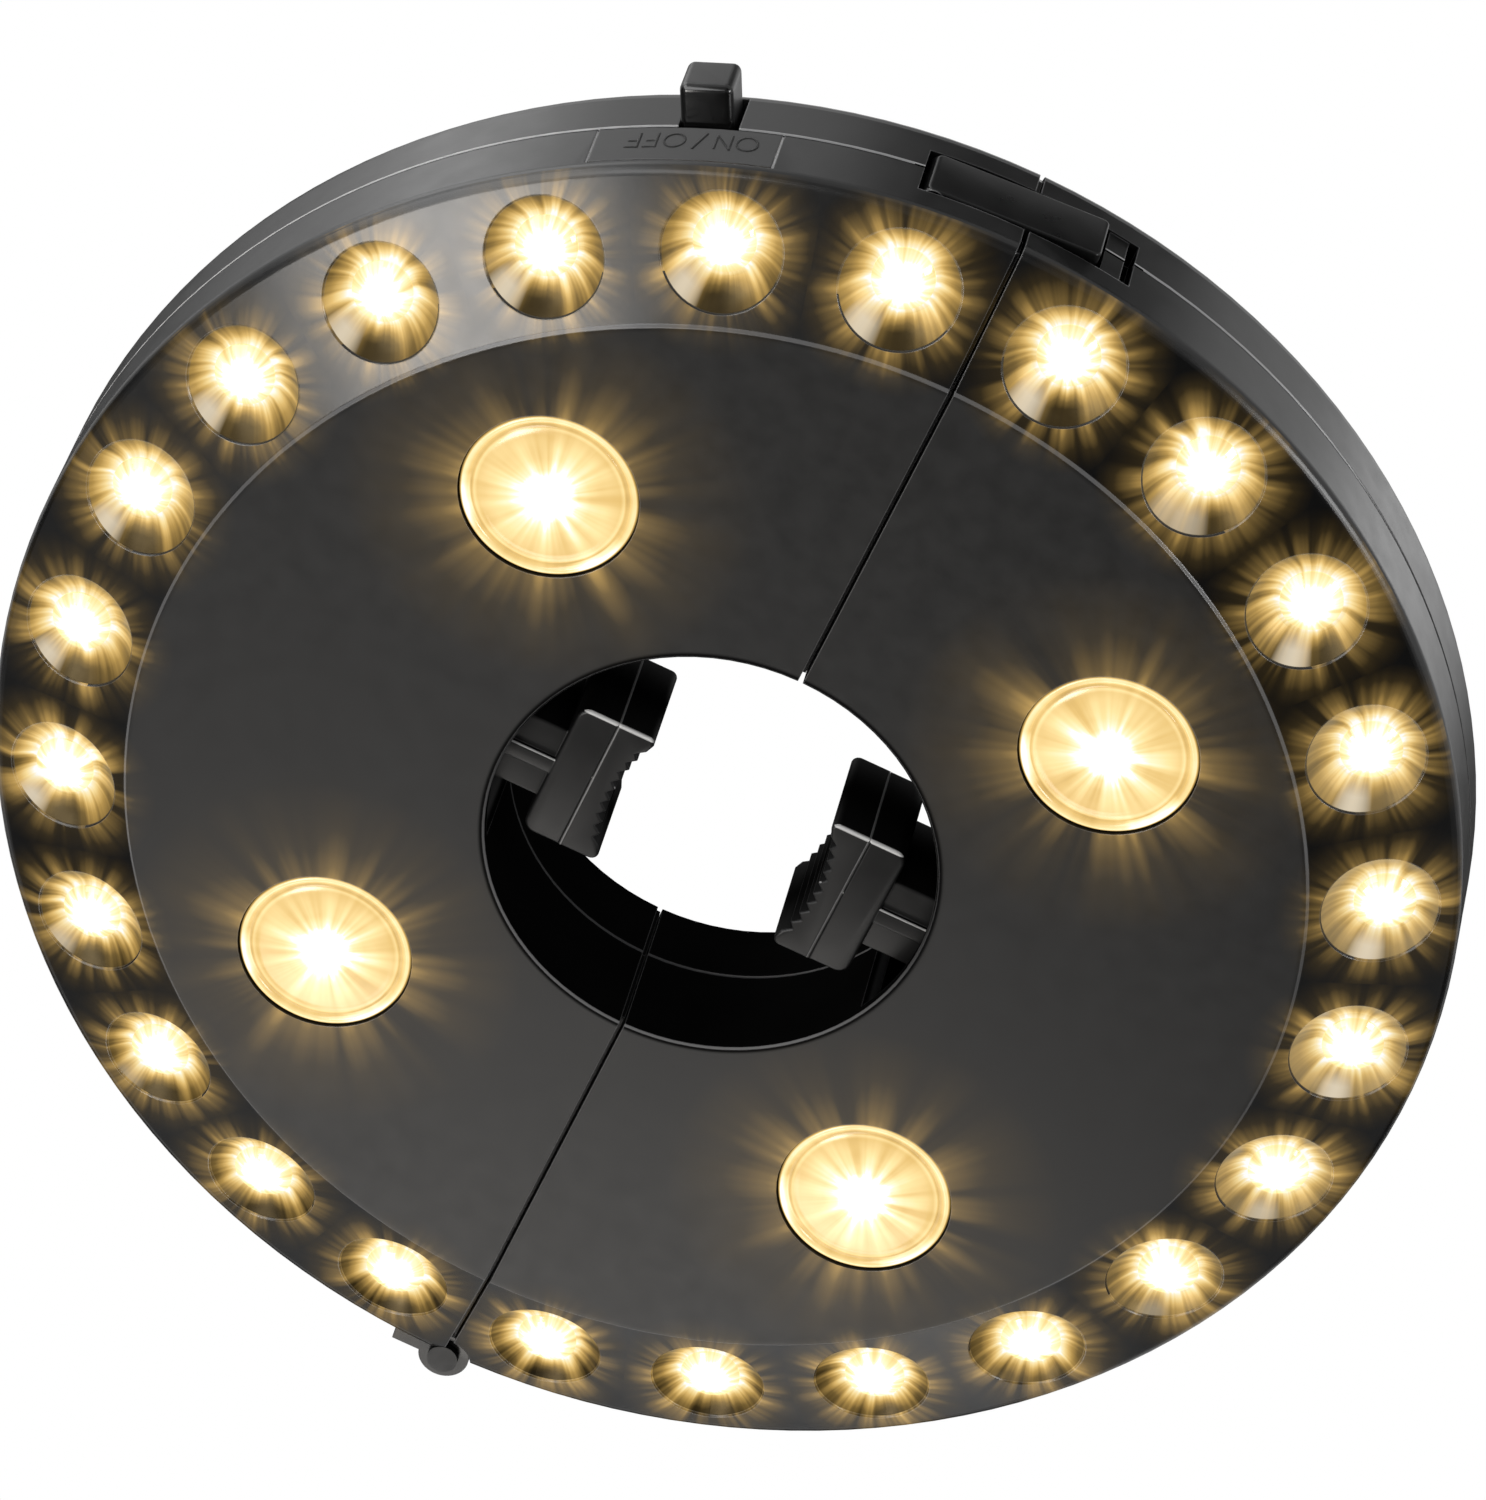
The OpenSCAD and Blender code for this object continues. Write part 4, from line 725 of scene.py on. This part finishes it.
# Jaws: block with round edges, stem with its rib and stop, toothed pad
TEETH, LIP, TOOTH = 9, 2.6, 1.0
PAD_CURVE, PAD_CORNER, BLOCK_CORNER, JAW_GAP = 28.0, 1.2, 2.0, 0.02


def pad_front(y):
    return POLE_R + math.sqrt(PAD_CURVE ** 2 - y * y) - PAD_CURVE


def pad_outline(inset):
    half = JAW_W / 2
    back = PAD_BACK - JAW_GAP - min(inset, 0.3)
    side = half - inset
    pitch = (JAW_W - 2 * LIP) / TEETH
    q = PAD_CORNER
    tip = pad_front(half - q)
    pts = [(back, -side)] + arc(tip + q, -half + q, q - inset, 270, 180, 5)
    for i in range(TEETH):
        y = -pitch * TEETH / 2 + pitch * i
        pts += [(pad_front(y) + inset, y), (pad_front(y + pitch / 2) + TOOTH + inset, y + pitch / 2)]
    pts.append((pad_front(pitch * TEETH / 2) + inset, pitch * TEETH / 2))
    return pts + arc(tip + q, half - q, q - inset, 180, 90, 5) + [(back, side)]


def block_outline(inset):
    half = JAW_W / 2
    front = PAD_BACK + JAW_GAP + min(inset, 0.3)
    q = BLOCK_CORNER
    return ([(front, half - inset), (front, -half + inset)]
            + arc(JAW_BACK - q, -half + q, q - inset, -90, 0, 7)
            + arc(JAW_BACK - q, half - q, q - inset, 0, 90, 7))


for half, side in HALVES:
    flip = side < 0
    block = Build()
    block.rounded(block_outline, JAW_Z, JAW_Z + JAW_H, 0.55)
    root, bore = JAW_BACK - 1.0, STEM_END - BORE_L
    low, high = STEM_MID - BORE_HALF, STEM_MID + BORE_HALF
    block.rounded(rounded_box(root, bore + 0.2, -STEM_HALF, STEM_HALF, 0.5, 3), STEM_Z, STEM_TOP, 0.4)
    for y0, y1, z0, z1 in ((-STEM_HALF, STEM_HALF, STEM_Z, low), (-STEM_HALF, STEM_HALF, high, STEM_TOP),
                           (-STEM_HALF, -BORE_HALF, low, high), (BORE_HALF, STEM_HALF, low, high)):
        block.prism(box_outline(bore, STEM_END, y0, y1), z0, z1)
    block.rounded(rounded_box(root, STEM_END, -RIB_HALF, RIB_HALF, 0.3, 2),
                  STEM_Z - RIB_DROP, STEM_Z + 1.0, 0.25)
    block.rounded(rounded_box(STEM_END - STOP_FAR, STEM_END - STOP_NEAR, -STOP_HALF, STOP_HALF, 0.3, 2),
                  STEM_TOP - 1.0, STEM_TOP + 1.6, 0.2)
    block.finish(half + "_jaw_block", jaw_mat, half + "_jaw", [half + "_jaw"],
                 mirror=flip)
    pad = Build()
    pad.rounded(pad_outline, JAW_Z, JAW_Z + JAW_H, 0.45)
    for z in (JAW_Z + JAW_H / 4, JAW_Z + JAW_H * 3 / 4):
        cylinder_x(pad, PAD_BACK - 0.5, PAD_BACK + 2.3, 0.0, z, 1.5)
    pad.finish(half + "_toothed_pad", pad_mat, half + "_jaw", [half + "_jaw_pad"],
               mirror=flip)

# Jaw springs: one coil for each half, left where it is made and riding no body
SPRING_R, WIRE_R, COILS, COIL_STEPS, WIRE_SIDES = 3.25, 0.45, 8, 24, 10
SPRING_START, SPRING_END = STEM_END - 11.4, 63.2
SPRING_L = SPRING_END - SPRING_START


def coil_sections():
    rows = []
    for i in range(COILS * COIL_STEPS + 1):
        a = 2 * math.pi * i / COIL_STEPS
        out = Vector((0, math.cos(a), math.sin(a)))
        ahead = Vector((SPRING_L / COILS, -2 * math.pi * SPRING_R * math.sin(a),
                        2 * math.pi * SPRING_R * math.cos(a)))
        across = ahead.cross(out).normalized()
        x = SPRING_START + SPRING_L * i / (COILS * COIL_STEPS)
        centre = Vector((x, 0, STEM_MID)) + out * SPRING_R
        turns = [2 * math.pi * t / WIRE_SIDES for t in range(WIRE_SIDES)]
        rows.append([centre + (out * math.cos(t) + across * math.sin(t)) * WIRE_R for t in turns])
    return rows


for half, side in HALVES:
    spring = Build()
    spring.rings(coil_sections())
    coil = spring.finish(half + "_jaw_coil", steel_mat, None, [half + "_jaw_spring"],
                         mirror=side < 0)
    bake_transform(coil)

# Large lenses: low crown, a groove near the edge and a round rim
CROWN_R, CROWN_Z, CROWN_RISE, CROWN_STEPS = 11.2, 0.1, 0.55, 8
GROOVE_IN, GROOVE_OUT, GROOVE_Z = 11.4, 11.6, 0.82
LIP_R, LIP_Z, LIP_ROUND = 12.5, 1.0, 0.7
FLANGE_LOW, FLANGE_TOP, LENS_BACK = 2.15, 3.35, 2.4


def lens_profile():
    """Radius and height from the middle of the crown round the rim to the middle of the back."""
    ball = (GROOVE_IN ** 2 + CROWN_RISE ** 2) / (2 * CROWN_RISE)
    profile = [(0.0, CROWN_Z)]
    for i in range(1, CROWN_STEPS + 1):
        r = CROWN_R * i / CROWN_STEPS
        profile.append((r, CROWN_Z + ball - math.sqrt(ball * ball - r * r)))
    profile += [(GROOVE_IN, GROOVE_Z), (GROOVE_OUT, GROOVE_Z)]
    profile += arc(LIP_R, LIP_Z, LIP_ROUND, 195, 360, 8)
    return profile + [
        (LENS_R, FLANGE_LOW - 0.05), (LENS_R + FLANGE, FLANGE_LOW), (LENS_R + FLANGE, FLANGE_TOP),
        (LENS_R - FLANGE, FLANGE_TOP), (LENS_R - FLANGE, LENS_BACK), (0.0, LENS_BACK)]


for half, side in HALVES:
    lens = Build()
    for sy in (-1, 1):
        lens.turned(lens_profile(), SPOT_XY, sy * SPOT_XY)
    lens.finish(half + "_lenses", lens_mat, half + "_half", [half + "_spot_lenses"],
                mirror=side < 0)

# Push button: round-edged cap, skirt and stem
cos_b, sin_b = math.cos(math.radians(BUTTON_ANGLE)), math.sin(math.radians(BUTTON_ANGLE))


def at_button(u, v, w):
    """Along the rim, up the pole and outward become frame coordinates."""
    return (w * cos_b - u * sin_b, w * sin_b + u * cos_b, v)


half_w, top = BUTTON_W / 2, BUTTON_Z + BUTTON_H
cap = Build()
cap.rounded(rounded_box(BUTTON_SIDE - half_w, BUTTON_SIDE + half_w, BUTTON_Z, top, BUTTON_ROUND, 6),
            SKIRT, RIM_R + BUTTON_OUT, BUTTON_ROUND, at_button, 6, both=False)
cap.rounded(rounded_box(-half_w - SKIRT_EDGE, half_w + SKIRT_EDGE, BUTTON_Z - 0.6, top + 0.8, 0.6, 3),
            SKIRT, SKIRT + SKIRT_T, 0.3, at_button, 3)
cap.prism(arc(0.0, BUTTON_Z + BUTTON_H / 2, BUTTON_STEM_R, 0, 350, 35),
          SKIRT - 2.4, SKIRT + 0.1, at_button)
button_cap = cap.finish("button_cap", button_mat, "mode_button", ["mode_button"])
# Its shadow and its reflection would hide the lettering below it, which the photo shows clearly
button_cap.visible_shadow = False
button_cap.visible_glossy = False


# Latch: plate with round corners, barrel and nose
def at_latch(u, v, w):
    """Distance from the pivot toward the free end, height, and outward."""
    x, y = -u, w
    return (LATCH_X + x * math.cos(LATCH_LEAN) - y * math.sin(LATCH_LEAN),
            LATCH_Y + x * math.sin(LATCH_LEAN) + y * math.cos(LATCH_LEAN), v)


def barrel_outline(r, z, n=48):
    return [(LATCH_X + r * math.cos(2 * math.pi * i / n), LATCH_Y + r * math.sin(2 * math.pi * i / n), z)
            for i in range(n)]


plate = Build()
plate.rounded(rounded_box(-LATCH_HEEL, LATCH_L, LATCH_Z, LATCH_TOP, 1.1, 5),
              LATCH_IN, LATCH_OUT, 0.35, at_latch)
plate.rings([barrel_outline(r, z) for r, z in (
    (LATCH_BORE, LATCH_Z), (LATCH_BARREL, LATCH_Z), (LATCH_BARREL, LATCH_TOP), (LATCH_BORE, LATCH_TOP),
    (LATCH_BORE, LATCH_Z))], caps=False)
nose_end = NOSE_Y - (LATCH_Y - NOSE_START * math.sin(LATCH_LEAN))
plate.prism(box_outline(NOSE_START, NOSE_START + NOSE_T, LATCH_Z, LATCH_TOP), nose_end, 0.5, at_latch)
plate.finish("latch_plate", latch_mat, "latch", ["latch"])


# ON / OFF on the panel under the button: thin raised strokes that follow the rim
LETTER_H, STROKE, LETTERS_Z, LETTERS_ANGLE = 4.3, 0.36, 17.3, 64.25
O_WIDE, N_WIDE, SLASH_WIDE, F_WIDE = 3.35, 2.5, 1.5, 2.0


def lettering():
    high, e = LETTER_H, STROKE / 2
    letter_o = [[(O_WIDE / 2 + (O_WIDE - STROKE) / 2 * math.cos(math.radians(a)),
                  high / 2 + (high - STROKE) / 2 * math.sin(math.radians(a))) for a in range(0, 361, 12)]]
    letter_n = [[(e, 0), (e, high)], [(e, high - e), (N_WIDE - e, e)],
                [(N_WIDE - e, 0), (N_WIDE - e, high)]]
    slash = [[(0, -0.2), (SLASH_WIDE, high + 0.2)]]
    letter_f = [[(e, 0), (e, high)], [(e, high - e), (F_WIDE, high - e)],
                [(e, high * 0.52), (F_WIDE - 0.3, high * 0.52)]]
    # Width and strokes of each sign, and the gaps between them
    signs = [(O_WIDE, letter_o), (0.5, []), (N_WIDE, letter_n), (1.4, []), (SLASH_WIDE, slash), (1.2, []),
             (O_WIDE, letter_o), (0.7, []), (F_WIDE, letter_f), (0.6, []), (F_WIDE, letter_f)]
    total = sum(s[0] for s in signs)
    letters = Build()

    def on_rim(u, v, w):
        a = math.radians(LETTERS_ANGLE) - (u - total / 2) / RIM_R
        return ((RIM_R + w) * math.cos(a), (RIM_R + w) * math.sin(a), LETTERS_Z - v)

    start = 0.0
    for width, strokes in signs:
        for line in strokes:
            for (u0, v0), (u1, v1) in zip(line, line[1:]):
                size = math.hypot(u1 - u0, v1 - v0)
                nu, nv = -(v1 - v0) / size * e, (u1 - u0) / size * e
                eu, ev = (u1 - u0) / size * 0.03, (v1 - v0) / size * 0.03
                quad = [(start + u0 - eu + nu, v0 - ev + nv), (start + u0 - eu - nu, v0 - ev - nv),
                        (start + u1 + eu - nu, v1 + ev - nv), (start + u1 + eu + nu, v1 + ev + nv)]
                letters.prism(quad, -0.05, 0.06, on_rim)
        start += width
    letters.finish("button_lettering", letter_mat, "main_half")


lettering()


# Floor, world, cards and lamps
def area_lamp(name, at, to, size, energy, color=(1.0, 1.0, 1.0)):
    data = bpy.data.lights.new(name, "AREA")
    data.shape = "RECTANGLE"
    data.size, data.size_y = size
    data.energy = energy
    data.color = color
    lamp = bpy.data.objects.new(name, data)
    bpy.context.scene.collection.objects.link(lamp)
    lamp.location = at
    lamp.rotation_euler = (Vector(to) - Vector(at)).to_track_quat("-Z", "Y").to_euler()
    lamp.visible_camera = False
    return lamp


def toned(name, dark, light, scale):
    mat, tree, bsdf = new_material(name)
    put(tree, ramp(tree, noise(tree, coords(tree), scale), [(0.3, dark), (0.7, light)]),
        bsdf.inputs["Base Color"])
    bsdf.inputs["Roughness"].default_value = 0.7
    return mat


def sheet(name, corners, mat):
    mesh = bpy.data.meshes.new(name)
    mesh.from_pydata(corners, [], [(0, 1, 2, 3)])
    mesh.materials.append(mat)
    ob = bpy.data.objects.new(name, mesh)
    bpy.context.scene.collection.objects.link(ob)
    return ob


def dark_card(name, centre, wide, deep):
    """Black studio card that faces the part and that the camera doesn't see."""
    c = Vector(centre)
    out = -c.normalized()
    side = out.cross(Vector((0, 1, 0))).normalized() * wide / 2
    up = side.normalized().cross(out) * deep / 2
    card = sheet(name, [c - side - up, c + side - up, c + side + up, c - side + up], card_mat)
    card.visible_camera = False
    card.visible_shadow = False
    card.visible_diffuse = False
    return card


floor_outline = box_outline(-FLOOR_HALF, FLOOR_HALF, -FLOOR_HALF, FLOOR_HALF)
sheet("floor", [(x, y, FLOOR_Z) for x, y in floor_outline], toned("pale_floor", 0.82, 0.86, 1.6))
card_mat = toned("black_card", 0.004, 0.006, 8.0)
dark_card("low_card", (-0.22, 0.10, -0.80), 0.62, 0.42)
dark_card("near_card", (-0.13, 0.0, -0.30), 0.34, 0.34)
dark_card("far_card", (0.24, -0.69, -0.50), 0.50, 0.30)
dark_card("high_card", (-0.08, 0.58, 0.80), 0.50, 0.55)
dark_card("front_card", (-0.08, 0.82, -0.46), 0.32, 0.40)
dark_card("side_card", (-0.12, -0.46, 0.80), 1.46, 0.58)
dark_card("left_card", (0.86, -0.42, -0.02), 0.60, 0.70)
dark_card("right_card", (-0.88, -0.40, -0.02), 0.75, 0.70)
dark_card("back_card", (0.0, -0.95, 0.30), 1.20, 0.60)

world = bpy.data.worlds.new("studio")
bpy.context.scene.world = world
world.use_nodes = True
wt = world.node_tree
sight = wt.nodes.new("ShaderNodeLightPath")
seen = largest(wt, *(sight.outputs["Is %s Ray" % kind] for kind in ("Camera", "Transmission", "Glossy")))
put(wt, calc(wt, "MULTIPLY_ADD", seen, 0.6, 0.4), wt.nodes["Background"].inputs["Strength"])
wt.nodes["Background"].inputs["Color"].default_value = (1.0, 1.0, 1.0, 1.0)

area_lamp("under_left", (0.41, -0.07, -0.86), (0.05, 0.02, 0.0), (0.32, 0.28), 4.8, (1.0, 0.97, 0.93))
area_lamp("low_front", (-0.03, -0.36, -0.30), (0.0, -0.05, 0.0), (0.30, 0.12), 0.56, (1.0, 0.96, 0.91))
area_lamp("low_left", (-0.18, -0.56, -0.27), (-0.03, -0.08, 0.0), (0.30, 0.12), 0.5)
area_lamp("over_left", (0.55, 0.15, 0.75), (0.06, 0.06, 0.015), (0.22, 0.22), 0.25)
area_lamp("over_right", (-0.54, 0.11, 0.75), (-0.06, 0.06, 0.015), (0.22, 0.22), 0.22)
for name, at, to, size, energy in (
    ("front_left", (0.73, 0.45, -0.47), (0.06, 0.09, 0.01), (0.60, 1.15), 13.0),
    ("mid_left", (0.77, 0.48, 0.39), (0.06, 0.09, 0.01), (0.60, 0.60), 4.4),
    ("front_right", (-0.70, 0.60, -0.36), (-0.05, 0.09, 0.01), (0.26, 0.40), 5.4),
):
    area_lamp(name, at, to, size, energy).visible_diffuse = False
